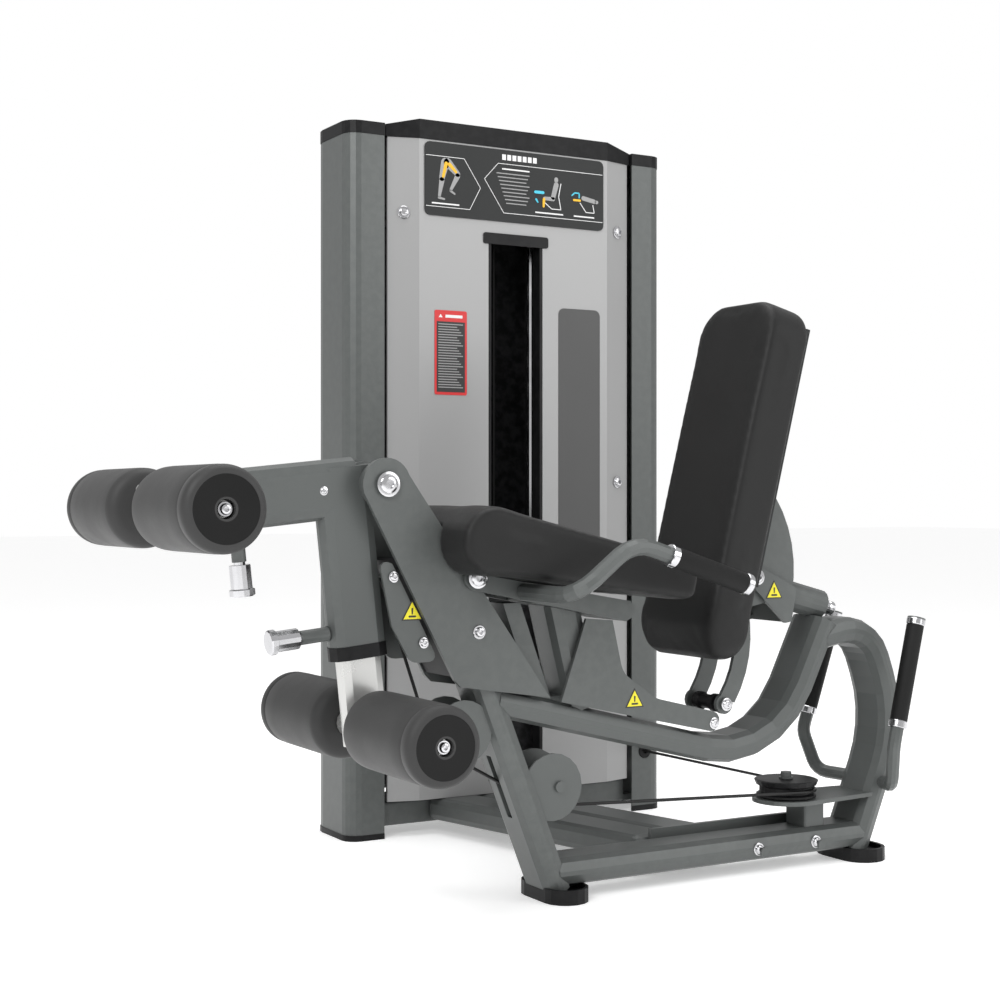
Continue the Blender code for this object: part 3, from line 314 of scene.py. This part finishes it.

# %% [markdown]
# ## Dressing the solid model
# Each node of the solid model names the material slot that it takes. Its mesh is kept as it is, and only
# the finish in its slot changes, so the structure stays the solid model's own.

# %% Give every node its finish
for subpart in frame["record"]["subparts"]:
    node = frame["nodes"][subpart["node"]]
    wanted = FINISHES[subpart["material_slot"]]
    if not node.material_slots:
        node.data.materials.append(wanted)
    for slot in node.material_slots:
        slot.material = wanted

# %% [markdown]
# ## Tools for the fine pieces
# Bolts, rings, sleeves, discs and rollers are all turned parts. A profile of radius and distance, spun
# about an axis, makes each of them, as a lathe would. Labels are flat outlines with a little thickness.


# %% Turned and flat pieces
def to_scene(name, mesh, material, body, smooth=40):
    """Links a finished bmesh as a piece that rides on a body."""
    data = bpy.data.meshes.new(name)
    bmesh.ops.recalc_face_normals(mesh, faces=mesh.faces)
    mesh.to_mesh(data)
    mesh.free()
    data.materials.append(material)
    data.shade_smooth()
    data.set_sharp_from_angle(angle=math.radians(smooth))
    piece = bpy.data.objects.new(name, data)
    bpy.context.scene.collection.objects.link(piece)
    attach(piece, body)
    return piece


def spun(mesh, profile, centre, axis, count=40, closed=False):
    """Adds a lathe shape to a bmesh. A profile point is (radius, distance along the axis)."""
    way = Vector(axis).normalized()
    side = way.orthogonal().normalized()
    other = way.cross(side)
    rings = []
    for radius, along in profile:
        middle = centre + way * along
        if radius <= 0:
            rings.append([mesh.verts.new(middle)])
            continue
        turns = [2 * math.pi * i / count for i in range(count)]
        rings.append([mesh.verts.new(middle + (side * math.cos(t) + other * math.sin(t)) * radius)
                      for t in turns])
    pairs = list(zip(rings, rings[1:]))
    if closed:
        pairs.append((rings[-1], rings[0]))
    for first, second in pairs:
        for i in range(count):
            j = (i + 1) % count
            corners = [first[i % len(first)], first[j % len(first)], second[j % len(second)],
                       second[i % len(second)]]
            mesh.faces.new(list(dict.fromkeys(corners)))


def turned(name, profile, centre, axis, material, body, count=40, closed=False):
    mesh = bmesh.new()
    spun(mesh, profile, centre, axis, count, closed)
    return to_scene(name, mesh, material, body)


def extruded(mesh, outline, push):
    """Adds a closed outline pushed along a vector to a bmesh."""
    low = [mesh.verts.new(point) for point in outline]
    high = [mesh.verts.new(point + push) for point in outline]
    mesh.faces.new(low)
    mesh.faces.new(high[::-1])
    for i in range(len(low)):
        j = (i + 1) % len(low)
        mesh.faces.new([low[i], low[j], high[j], high[i]])


def rounded(x0, x1, z0, z1, radius, steps=6):
    """Corners of a rectangle with round corners, as (x, z)."""
    found = []
    for cx, cz, start in ((x1 - radius, z1 - radius, 0), (x0 + radius, z1 - radius, 90),
                          (x0 + radius, z0 + radius, 180), (x1 - radius, z0 + radius, 270)):
        found += [polar(cx, cz, radius, start + 90 * i / steps) for i in range(steps + 1)]
    return found


print("lathe and label tools ready")

# %% [markdown]
# ## Bolts
# The machine is held by domed bolts with a socket. At this size only the socket's dark rim is seen, so it
# is a plain round recess in the dome. The bolts of one place are one piece.


# %% Bolt heads
def bolt_profile(radius, stand):
    """A domed head with a round washer under it and a recess in its middle."""
    dome = [(radius, stand * 0.30), (radius * 0.97, stand * 0.60), (radius * 0.80, stand * 0.90),
            (radius * 0.55, stand)]
    socket = [(radius * 0.46, stand), (radius * 0.42, stand * 0.45), (0, stand * 0.40)]
    washer = [(0, 0), (radius * 1.35, 0), (radius * 1.35, stand * 0.22), (radius * 1.25, stand * 0.30)]
    return washer + dome + socket


def bolts(name, body, places, axis=(0, -1, 0)):
    """Bolt heads on one body. A place is (point, head radius, how far it stands out)."""
    mesh = bmesh.new()
    for point, radius, stand in places:
        spun(mesh, bolt_profile(radius, stand), point, axis, 28)
    return to_scene(name, mesh, FINISHES["chrome"], body, 30)


PLATE_FACE = -0.0594     # outer face of the near pivot plate
FACE = 0.600             # front face of the tower's panel
WING_DEEP, WING_WIDE = 0.018, 0.066     # how far each side of the panel folds back, and over what width
bolts("plate_bolts", "frame", [(at(-0.179, PLATE_FACE, 0.485), 0.0090, 0.007),
                               (at(-0.353, -0.0642, 0.736), 0.0155, 0.006),
                               (at(-0.189, -0.0732, 0.578), 0.0135, 0.006)])
bolts("guard_bolts", "frame", [(at(-0.3352, -0.0477, 0.582), 0.0070, 0.005),
                               (at(-0.2790, -0.0477, 0.470), 0.0070, 0.005)])
bolts("rail_bolts", "frame", [(at(x, -0.0502, 0.050), 0.0090, 0.007) for x in (0.432, 0.572)])
bolts("hinge_bolts", "frame", [(at(0.420, -0.0632, 0.565), 0.0110, 0.005)])
bolts("tail_bolts", "frame", [(at(0.322, -0.0572, 0.296), 0.0080, 0.005)])
bolts("spool_bolt", "backrest", [(at(0.3515, -0.0562, 0.329), 0.0090, 0.005)])
wing = math.atan2(WING_DEEP, WING_WIDE)
for side, x, axis in (("left", 0.0130, (-math.sin(wing), -math.cos(wing), 0)),
                      ("right", 0.5540, (math.sin(wing), -math.cos(wing), 0))):
    y = FACE + WING_DEEP / 2     # the middle of the folded side
    bolts(f"panel_screws_{side}", "frame",
          [(at(x, y - 0.0010, z), 0.0100, 0.008) for z in (1.316, 0.751, 0.180)], axis)
print("bolt pieces made")

# %% [markdown]
# ## Rollers
# Each roller is a foam tube with a closed skin. A moulded black disc closes its outer end, with a recess
# for the axle's bolt. The foam has a shallow groove behind its rounded rim, so its profile is a curve and
# not a straight cylinder.

# %% Four rollers
ROLLER_R, BORE_R = 0.065, 0.0145
ROLLER_ENDS = (0.052, 0.300)     # where a roller starts and stops, from the arm's middle


def roller_profile(near, far):
    """The foam, from its inner end to the lip round the end disc."""
    inner = [(BORE_R, near + 0.001), (0.045, near + 0.0005)]
    shoulder = [polar(ROLLER_R - 0.019, near + 0.0195, 0.019, d) for d in range(-70, 1, 14)]
    body = [(ROLLER_R + 0.0004, near + 0.040 + (far - near - 0.075) * i / 5) for i in range(6)]
    rim = [(ROLLER_R - 0.0010, far - 0.0300), (ROLLER_R - 0.0014, far - 0.0285), (ROLLER_R, far - 0.0260)]
    lip = [polar(ROLLER_R - 0.014, far - 0.0145, 0.014, d) for d in range(0, 91, 15)]
    return [*inner, *shoulder, *body, *rim, *lip]


def make_roller(level, where, axle):
    side = -1 if where == "near" else 1
    body = f"{level}_roller_{where}"
    centre = at(axle[0], 0, axle[1])
    near, far = ROLLER_ENDS
    shell = roller_profile(near, far) + [(0.0530, far - 0.0012), (BORE_R, far - 0.0012)]
    foam = turned(f"{body}_foam", shell, centre, (0, side, 0), FINISHES["roller_foam"], body,
                  64, closed=True)
    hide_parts(body)
    disc = [(BORE_R, far - 0.0100), (0.0170, far - 0.0100), (0.0180, far - 0.0008), (0.0505, far - 0.0002),
            (0.0520, far - 0.0016), (0.0526, far - 0.0040), (BORE_R, far - 0.0105)]
    turned(f"{body}_end", disc, centre, (0, side, 0), ROLLER_END, body, 64, closed=True)
    mesh = bmesh.new()
    spun(mesh, [(r, y + far - 0.0098) for r, y in bolt_profile(0.0085, 0.0085)], centre, (0, side, 0), 28)
    to_scene(f"{body}_bolt", mesh, FINISHES["chrome"], body, 30)


for level in ("upper", "lower"):
    for where in ("near", "far"):
        low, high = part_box(f"{level}_roller_{where}")
        middle = (low + high) / 2 - FOOT_CENTRE
        make_roller(level, where, (middle.x, middle.z))
print("rollers:", 4)

# %% [markdown]
# ## Upholstery
# The seat and the back are foam on a board under stretched vinyl, with full faces and soft edges. A
# cushion could be a subdivided box, but the pull of the cover shows best when cloth is inflated inside a
# limit. Each pad starts from a slightly small closed form, is remeshed into even faces and is blown up for
# twenty frames, and no point may move further than a few millimetres.


# %% Inflate a pad
FACE_SIZE = 0.006        # size of a face after the remesh
PRESSURE, FRAMES = 4.0, 20
CAP = 0.0035             # how far inflating may move a point


def inflated(piece):
    """Turns a closed piece into a stuffed one. The result stays as plain mesh."""
    bpy.context.view_layer.objects.active = piece
    piece.select_set(True)
    remesh = piece.modifiers.new("Even faces", "REMESH")
    remesh.mode, remesh.voxel_size = "VOXEL", FACE_SIZE
    bpy.ops.object.modifier_apply(modifier=remesh.name)
    start = [vertex.co.copy() for vertex in piece.data.vertices]
    cloth = piece.modifiers.new("Cover", "CLOTH")
    cloth.settings.use_pressure = True
    cloth.settings.uniform_pressure_force = PRESSURE
    cloth.settings.effector_weights.gravity = 0
    cloth.settings.quality = 4
    scene = bpy.context.scene
    for moment in range(1, FRAMES + 1):
        scene.frame_set(moment)
    solved = piece.evaluated_get(bpy.context.evaluated_depsgraph_get()).data
    moved = [vertex.co.copy() for vertex in solved.vertices]
    piece.modifiers.remove(cloth)
    scene.frame_set(1)
    for vertex, old, new in zip(piece.data.vertices, start, moved):
        step = new - old
        vertex.co = old + step * min(1.0, CAP / max(step.length, 1e-9))
    smooth = piece.modifiers.new("Stretched", "SMOOTH")
    smooth.iterations, smooth.factor = 4, 0.5
    bpy.ops.object.modifier_apply(modifier=smooth.name)
    rounder = piece.modifiers.new("Fine", "SUBSURF")
    rounder.levels = rounder.render_levels = 1
    bpy.ops.object.modifier_apply(modifier=rounder.name)
    piece.data.shade_smooth()
    piece.select_set(False)
    return piece


# %% [markdown]
# The back pad leans back, so its form is drawn in its own terms: up along its face, out behind that face,
# and across. Its top has wide round corners and its foot is rolled under. The rings below are the same
# rounded outline, drawn in at the front and at the back.

# %% The back pad
LEAN = math.radians(14.5)
PAD_FOOT = at(0.250, 0, 0.420)
UP = Vector((math.sin(LEAN), 0, math.cos(LEAN)))
OUT = Vector((math.cos(LEAN), 0, -math.sin(LEAN)))
PAD_HALF, PAD_TOP, PAD_THICK = 0.120, 0.698, 0.100
SWELL = 0.003            # the pad is drawn this far inside its limits, because it swells


def back_place(across, up, out):
    return PAD_FOOT + UP * up + OUT * out + Vector((0, across, 0))


def between(value, table):
    """Reads a value from a short list of (where, what) by straight lines."""
    for (x0, y0), (x1, y1) in zip(table, table[1:]):
        if value <= x1:
            return y0 + (y1 - y0) * max(0.0, value - x0) / (x1 - x0)
    return table[-1][1]


def ring_at(out):
    """The pad's outline at one depth, drawn in near its two faces and rolled under at its foot."""
    soft = 0.016
    depth = min(out, PAD_THICK - out)
    inset = soft - math.sqrt(max(0.0, soft ** 2 - (soft - min(depth, soft)) ** 2)) + SWELL
    foot = between(out, [(0.0, 0.062), (0.012, 0.032), (0.030, 0.010), (0.050, 0.003), (0.080, 0.010),
                         (PAD_THICK, 0.042)]) + SWELL
    half, top = PAD_HALF - inset, PAD_TOP - inset
    head, toe = 0.066, 0.030
    points = []
    for cx, cz, radius, start in ((half - head, top - head, head, 0), (-half + head, top - head, head, 90),
                                  (-half + toe, foot + toe, toe, 180), (half - toe, foot + toe, toe, 270)):
        points += [polar(cx, cz, radius, start + 90 * i / 8) for i in range(9)]
    return [back_place(across, up, out) for across, up in points]


mesh = bmesh.new()
rings = [[mesh.verts.new(p) for p in ring_at(out)]
         for out in (0.003, 0.006, 0.011, 0.018, 0.030, 0.050, 0.070, 0.082, 0.089, 0.094, 0.097)]
mesh.faces.new(rings[0])
mesh.faces.new(rings[-1][::-1])
for first, second in zip(rings, rings[1:]):
    for i in range(len(first)):
        j = (i + 1) % len(first)
        mesh.faces.new([first[i], first[j], second[j], second[i]])
back_pad = to_scene("back_cushion", mesh, FINISHES["vinyl"], "backrest")
inflated(back_pad)
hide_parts("back_pad")
print("back pad faces:", len(back_pad.data.polygons))

# %% [markdown]
# The seat rolls down over a bull nose at its front, and the two pivot plates pass through slots in it. The
# solid seat already has those slots, so its own mesh is copied and inflated: the cover then pulls in at the
# slots as a real one does. While the cover is solved, the shape starts 1.5 mm inside the solid seat. That
# shrink is never applied by itself, and it is dropped once the cover is done.

# %% The seat pad
copy = bmesh.new()
copy.from_mesh(frame["nodes"]["seat_pad"].data)
bmesh.ops.remove_doubles(copy, verts=copy.verts, dist=1e-5)
seat_pad = to_scene("seat_cushion", copy, FINISHES["vinyl"], "frame")
shrink = seat_pad.modifiers.new("Small start", "DISPLACE")
shrink.strength, shrink.mid_level = -0.0015, 0.0
inflated(seat_pad)
seat_pad.modifiers.remove(seat_pad.modifiers["Small start"])
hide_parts("seat_pad")
print("seat pad faces:", len(seat_pad.data.polygons))


# %% [markdown]
# ## Grips
# Black rubber sleeves cover the ends of the side handles and the rear handles, each held between two
# polished rings. The handles themselves are bent tube in the frame's paint.


# %% Sleeves and rings
def grip(name, end, before, length, tube_r, sleeve_r, ring_r):
    """A sleeve and its two rings on the straight end of a handle."""
    along = (before - end).normalized()
    sleeve = [(tube_r, 0.0075), (sleeve_r - 0.0008, 0.0075), (sleeve_r, 0.0095),
              (sleeve_r, length - 0.0115), (sleeve_r - 0.0008, length - 0.0095), (tube_r, length - 0.0095)]
    turned(f"{name}_sleeve", sleeve, end, along, GRIP, "frame", 36, closed=True)
    mesh = bmesh.new()
    cap = [(0, -0.0045), (ring_r - 0.0060, -0.0045), (ring_r - 0.0010, -0.0036), (ring_r, -0.0020),
           (ring_r, 0.0070), (ring_r - 0.0012, 0.0084), (tube_r, 0.0084)]
    spun(mesh, cap, end, along, 36)
    ring = [(tube_r, length - 0.0123), (ring_r - 0.0012, length - 0.0123), (ring_r, length - 0.0110),
            (ring_r, length + 0.0004), (ring_r - 0.0012, length + 0.0016), (tube_r, length + 0.0016)]
    spun(mesh, ring, end, along, 36, closed=True)
    to_scene(f"{name}_rings", mesh, FINISHES["chrome"], "frame", 30)


for where, side in (("near", -1), ("far", 1)):
    grip(f"side_grip_{where}", at(0.258, side * 0.235, 0.5625), at(0.020, side * 0.235, 0.640), 0.175,
         0.0140, 0.0184, 0.0196)
    grip(f"rear_grip_{where}", at(0.766, side * 0.120, 0.474), at(0.695, side * 0.134, 0.235), 0.211,
         0.0128, 0.0168, 0.0182)
print("grips:", 4)

# %% [markdown]
# ## The tower's front
# The panel is folded sheet steel with a long slot for the selector pin. A darker inset strip runs beside
# the slot, the slot has returned edges, and a black stop closes its head. Thin black sheets behind the slot
# are painted shade: they stand in for the dark inside the tower. Each column stands on a black foot strip.


# %% Panel details
def plate_on_panel(name, outline, front, thick, material):
    mesh = bmesh.new()
    extruded(mesh, [at(x, front, z) for x, z in outline], Vector((0, thick, 0)))
    return to_scene(name, mesh, material, "frame")


plate_on_panel("panel_inset", rounded(0.392, 0.501, 0.560, 1.135, 0.014), FACE - 0.0010, 0.0008, INSET)
plate_on_panel("slot_head", rounded(0.201, 0.364, 1.264, 1.288, 0.005), FACE - 0.0030, 0.0045,
               FINISHES["black_plastic"])
for name, x in (("slot_edge_left", 0.2145), ("slot_edge_right", 0.3440)):
    mesh = bmesh.new()
    edge = [at(x, 0.6005, 0.110), at(x + 0.0065, 0.6005, 0.110), at(x + 0.0065, 0.6300, 0.110),
            at(x, 0.6300, 0.110)]
    extruded(mesh, edge, Vector((0, 0, 1.154)))
    to_scene(name, mesh, FINISHES["black_plastic"], "frame")
# Painted shade: black sheets behind and beside the stack stand in for the shade inside the tower behind the
# slot.
shade_sheets = bmesh.new()
for corners in (((-0.022, 0.770), (0.589, 0.770), (0.589, 0.774), (-0.022, 0.774)),
                ((0.148, 0.640), (0.150, 0.640), (0.150, 0.769), (0.148, 0.769)),
                ((0.415, 0.640), (0.417, 0.640), (0.417, 0.769), (0.415, 0.769))):
    extruded(shade_sheets, [at(x, y, 0.085) for x, y in corners], Vector((0, 0, 1.225)))
to_scene("tower_painted_shade", shade_sheets, FINISHES["black_iron"], "frame")
STRIP_WALL = 0.0030      # thickness of a foot strip
TOWER_MIDDLE = 0.4       # lies between the columns' front and back walls
for name, node in (("column_foot_left", "tower_column_left"), ("column_foot_right", "tower_column_right")):
    low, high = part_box(node)
    left = node.endswith("left")
    outer, inner = (low.x - 0.0012, high.x) if left else (high.x + 0.0012, low.x)
    mesh = bmesh.new()
    corner, back_corner = 0.030, 0.05
    front, back, turn = low.y - 0.0012, high.y + 0.0012, 1 if left else -1
    line = [(inner, front), (outer + turn * corner, front)]
    line += [(outer + turn * corner * (1 - math.sin(math.radians(d))),
              front + corner * (1 - math.cos(math.radians(d)))) for d in (22, 45, 67)]
    line += [(outer, front + corner), (outer, back - back_corner)]
    line += [(outer + turn * back_corner * (1 - math.cos(math.radians(d))),
              back - back_corner * (1 - math.sin(math.radians(d)))) for d in (22, 45, 67)]
    line += [(outer + turn * back_corner, back), (inner, back)]
    inside = [(x if k in (0, len(line) - 1) else x + turn * STRIP_WALL,
               y + (STRIP_WALL if y < TOWER_MIDDLE else -STRIP_WALL)) for k, (x, y) in enumerate(line)]
    ring = [Vector((x, y, 0.0)) for x, y in line + inside[::-1]]
    extruded(mesh, ring, Vector((0, 0, 0.012)))
    to_scene(name, mesh, FINISHES["black_plastic"], "frame")
grommet = [(0.0060, -0.0030), (0.0150, -0.0030), (0.0165, -0.0014), (0.0165, 0.0004), (0.0112, 0.0008),
           (0.0112, 0.0060), (0.0060, 0.0060)]
turned("cable_grommet", grommet, at(0.632, 0.6115, 0.1352), (0, 1, 0), FINISHES["black_plastic"], "frame",
       32, closed=True)
print("panel details made")

# %% [markdown]
# ## Placard and labels
# The placard shows how the machine is used, in simple pictures. Here its fields, outlines and pictures are
# plain shapes of our own, and bars stand where words would be. Each ink is a separate thin sheet, as in
# screen printing.


# %% Drawing on the panel
def ink_sheet(name, shapes, front, ink, thick=0.0004):
    """Several flat outlines of one ink. A shape is a list of (x, z)."""
    mesh = bmesh.new()
    for shape in shapes:
        extruded(mesh, [at(x, front, z) for x, z in shape], Vector((0, thick, 0)))
    return to_scene(name, mesh, INKS[ink], "frame")


def stroke(x0, z0, x1, z1, wide=0.0012):
    """A straight line as a thin outline."""
    length = math.hypot(x1 - x0, z1 - z0)
    nx, nz = -(z1 - z0) / length * wide / 2, (x1 - x0) / length * wide / 2
    return [(x0 + nx, z0 + nz), (x1 + nx, z1 + nz), (x1 - nx, z1 - nz), (x0 - nx, z0 - nz)]


def strokes(points, wide=0.0012):
    return [stroke(*a, *b, wide) for a, b in zip(points, points[1:])]


def bar(x0, x1, z, tall):
    return [(x0, z), (x1, z), (x1, z + tall), (x0, z + tall)]


PRINT = 0.5961      # just in front of the placard
white = strokes([(0.060, 1.4405), (0.152, 1.4405), (0.192, 1.3815), (0.166, 1.3330), (0.060, 1.3330)])
white += strokes([(0.506, 1.4395), (0.236, 1.4395), (0.202, 1.4030), (0.250, 1.3330), (0.506, 1.3330)])
white += [bar(0.246 + 0.0130 * i, 0.2555 + 0.0130 * i, 1.4480, 0.0120) for i in range(7)]
white += [bar(0.074, 0.140, 1.3385, 0.0030), bar(0.246, 0.315, 1.4270, 0.0030),
          bar(0.330, 0.402, 1.3400, 0.0030), bar(0.430, 0.484, 1.3400, 0.0030)]
ink_sheet("placard_lines", white, PRINT, "white")
notes = [bar(0.232 + 0.003 * i, 0.315 - 0.004 * (i % 3), 1.4175 - 0.0080 * i, 0.0022) for i in range(9)]
ink_sheet("placard_notes", notes, PRINT, "grey")


def limb(x0, z0, r0, x1, z1, r1):
    """A tapered limb with round ends."""
    angle = math.degrees(math.atan2(z1 - z0, x1 - x0))
    first = [polar(x0, z0, r0, angle + 90 + 180 * i / 6) for i in range(7)]
    second = [polar(x1, z1, r1, angle - 90 + 180 * i / 6) for i in range(7)]
    return first + second


legs = [limb(0.106, 1.4280, 0.0100, 0.098, 1.3940, 0.0065),
        limb(0.098, 1.3900, 0.0062, 0.092, 1.3560, 0.0032),
        limb(0.112, 1.4280, 0.0100, 0.136, 1.4060, 0.0062),
        limb(0.136, 1.4020, 0.0060, 0.120, 1.3720, 0.0032),
        limb(0.091, 1.3520, 0.0026, 0.104, 1.3500, 0.0018),
        limb(0.119, 1.3690, 0.0026, 0.129, 1.3630, 0.0018)]
ink_sheet("placard_legs", legs, PRINT, "grey")
muscles = [limb(0.108, 1.4260, 0.0040, 0.101, 1.3980, 0.0030),
           limb(0.116, 1.4250, 0.0040, 0.132, 1.4100, 0.0028)]
ink_sheet("placard_muscles", muscles, PRINT - 0.0004, "orange")
figures = [limb(0.384, 1.4180, 0.0050, 0.384, 1.4160, 0.0050),
           limb(0.384, 1.4060, 0.0062, 0.376, 1.3780, 0.0055),
           limb(0.376, 1.3740, 0.0046, 0.354, 1.3740, 0.0038),
           limb(0.455, 1.3830, 0.0050, 0.484, 1.3780, 0.0048),
           limb(0.490, 1.3770, 0.0040, 0.491, 1.3770, 0.0040)]
ink_sheet("placard_figures", figures, PRINT, "grey")
rigs = strokes([(0.352, 1.3660), (0.372, 1.3520), (0.396, 1.3520), (0.390, 1.3800), (0.396, 1.4100)],
               0.0018)
rigs += strokes([(0.446, 1.3720), (0.462, 1.3520), (0.484, 1.3520), (0.480, 1.3700)], 0.0018)
ink_sheet("placard_rigs", rigs, PRINT - 0.0004, "white")
arrows = [limb(0.330, 1.3860, 0.0032, 0.350, 1.3860, 0.0032),
          limb(0.332, 1.3700, 0.0022, 0.336, 1.3640, 0.0016),
          *strokes([(0.424, 1.3860), (0.432, 1.3930), (0.444, 1.3930), (0.444, 1.3820)], 0.0030)]
ink_sheet("placard_arrows", arrows, PRINT - 0.0004, "cyan")
shins = [limb(0.352, 1.3720, 0.0032, 0.351, 1.3560, 0.0026),
         limb(0.430, 1.3770, 0.0024, 0.446, 1.3770, 0.0024)]
ink_sheet("placard_shins", shins, PRINT - 0.0006, "orange")
print("placard drawn")

# %% [markdown]
# The tall label is a red frame round a dark field of small print. The small print is rows of bars of
# uneven length. Three yellow triangles mark the places where a hand could be caught.

# %% Labels
LEFT, RIGHT, BOTTOM, TOP = 0.0820, 0.1600, 0.934, 1.114
ink_sheet("label_red", [rounded(LEFT, RIGHT, BOTTOM, TOP, 0.004)], FACE - 0.0012, "red", 0.0008)
field = rounded(LEFT + 0.005, RIGHT - 0.005, BOTTOM + 0.006, TOP - 0.024, 0.001)
ink_sheet("label_field", [field], FACE - 0.0016, "black")
rows = [bar(LEFT + 0.0085, RIGHT - 0.0100 - 0.0075 * ((i * 7) % 4) / 1.6, TOP - 0.0305 - 0.0056 * i, 0.0020)
        for i in range(25)]
ink_sheet("label_rows", rows, FACE - 0.0020, "grey")
title = [bar(0.1080, 0.1490, 1.0985, 0.0062), [(0.0915, 1.0985), (0.1010, 1.0985), (0.09625, 1.1055)]]
ink_sheet("label_title", title, FACE - 0.0016, "white")


def sticker(name, x, y, z, size, lean=0.0):
    """A yellow triangle with a black border and a plain mark."""
    for layer, (ink, share) in enumerate((("black", 1.0), ("yellow", 0.82), ("black", 0.0))):
        mesh = bmesh.new()
        front = y - 0.0004 * (layer + 1)
        if share:
            shapes = [[polar(x, z, size * share, lean + 90 + 120 * i) for i in range(3)]]
        else:
            low = z - size * 0.22
            shapes = [limb(x, z + size * 0.34, size * 0.07, x, z - size * 0.02, size * 0.05),
                      limb(x - size * 0.24, low, size * 0.07, x + size * 0.24, low, size * 0.07)]
        for shape in shapes:
            extruded(mesh, [at(px, front, pz) for px, pz in shape], Vector((0, 0.0004, 0)))
        to_scene(f"{name}_{layer}", mesh, INKS[ink], "frame")


sticker("guard_sticker", -0.3005, -0.0462, 0.5200, 0.0230)
sticker("tail_sticker", 0.1430, -0.0572, 0.3480, 0.0230)
sticker("bracket_sticker", 0.4620, -0.0587, 0.5350, 0.0230)
print("labels made")

# %% [markdown]
# ## Small parts of the arm and the stack
# The pull pins slide in plain grey stems. A small steel bush marks where the selector pin goes into each
# plate of the stack. The bushes of the lifted plates ride with them.

# %% Stems and bushes
TILT = math.radians(6)
CORNER = at(-0.409, 0, 0.730)
BACKWARD = Vector((-math.cos(TILT), 0, -math.sin(TILT)))
UNDER = Vector((math.sin(TILT), 0, -math.cos(TILT)))
TUBE_FACE = 0.0504       # from the arm's centre line to where a stem starts
STACK_FOOT, PLATE_PITCH = 0.112, 0.019
STEM = [(0.0098, 0.0002), (0.0128, 0.0002), (0.0128, 0.0025), (0.0118, 0.0040), (0.0118, 0.0500),
        (0.0098, 0.0500)]
for name, start, way in (("upper_pin_stem", CORNER + BACKWARD * 0.192 + UNDER * TUBE_FACE, UNDER),
                         ("lower_pin_stem", CORNER + UNDER * 0.238 + BACKWARD * TUBE_FACE, BACKWARD)):
    turned(name, STEM, start, way, FINISHES["frame_paint"], "leg_arm", 32, closed=True)
for name, body, first, last in (("resting_bushes", "frame", 0, 13), ("lifted_bushes", "weights", 14, 19)):
    mesh = bmesh.new()
    for i in range(first, last):
        spun(mesh, [(0.0045, -0.0008), (0.0085, -0.0008), (0.0095, 0.0002), (0.0045, 0.0002)],
             at(0.2825, 0.642, STACK_FOOT + PLATE_PITCH * (i + 0.5)), (0, 1, 0), 20, closed=True)
    to_scene(name, mesh, FINISHES["steel"], body)
bolts("arm_screw", "leg_arm", [(at(-0.452, -0.0252, 0.725), 0.0055, 0.003)])
print("stems and bushes made")

# %% [markdown]
# ## Studio
# A pale seamless floor and large soft lamps show the dark paint by its long highlights. The camera stands
# off the near front corner and looks level across the machine, a little above the seat.


# %% Floor, lamps and camera
def studio_floor():
    mesh = bmesh.new()
    bmesh.ops.create_grid(mesh, x_segments=8, y_segments=8, size=30)
    data = bpy.data.meshes.new("studio_floor")
    mesh.to_mesh(data)
    mesh.free()
    floor = bpy.data.objects.new("studio_floor", data)
    paper = finish("floor_paper", srgb(250, 250, 250), srgb(252, 252, 252), 0.9, amount=0.5, bump=0.0)
    lift = paper.node_tree.nodes["Principled BSDF"]
    lift.inputs["Emission Color"].default_value = (1, 1, 1, 1)
    lift.inputs["Emission Strength"].default_value = 0.36
    data.materials.append(paper)
    bpy.context.scene.collection.objects.link(floor)


def lamp(name, place, target, size, watts):
    data = bpy.data.lights.new(name, "AREA")
    data.shape, data.size, data.energy = "DISK", size, watts
    light = bpy.data.objects.new(name, data)
    light.location = place
    light.rotation_euler = (Vector(target) - Vector(place)).to_track_quat("-Z", "Y").to_euler()
    bpy.context.scene.collection.objects.link(light)


studio_floor()
lamp("key_lamp", (-3.2, -2.6, 3.4), (0, 0, 0.6), 2.6, 130)
lamp("fill_lamp", (2.6, -3.6, 2.2), (0, 0, 0.6), 3.0, 50)
lamp("top_lamp", (0.4, 0.2, 4.2), (0, 0, 0.5), 3.0, 70)
world = bpy.data.worlds.new("studio")
bpy.context.scene.world = world
world.use_nodes = True
tree = world.node_tree
soft = tree.nodes["Background"]
soft.inputs["Color"].default_value = (1, 1, 1, 1)
soft.inputs["Strength"].default_value = 0.62
plain = tree.nodes.new("ShaderNodeBackground")
plain.inputs["Strength"].default_value = 1.0
plain.inputs["Color"].default_value = (1, 1, 1, 1)
seen = tree.nodes.new("ShaderNodeLightPath").outputs["Is Camera Ray"]
either = tree.nodes.new("ShaderNodeMixShader")
tree.links.new(seen, either.inputs[0])
tree.links.new(soft.outputs[0], either.inputs[1])
tree.links.new(plain.outputs[0], either.inputs[2])
tree.links.new(either.outputs[0], tree.nodes["World Output"].inputs["Surface"])
bpy.context.scene.view_settings.view_transform = "Standard"
view = bpy.data.cameras.new("camera")
view.sensor_width, view.lens = 36.0, 60.48
camera = bpy.data.objects.new("camera", view)
camera.rotation_euler = (math.radians(90), 0, math.radians(-30))
camera.location = at(-1.580, -2.557, 0.710)
bpy.context.scene.collection.objects.link(camera)
bpy.context.scene.camera = camera
print("studio ready")
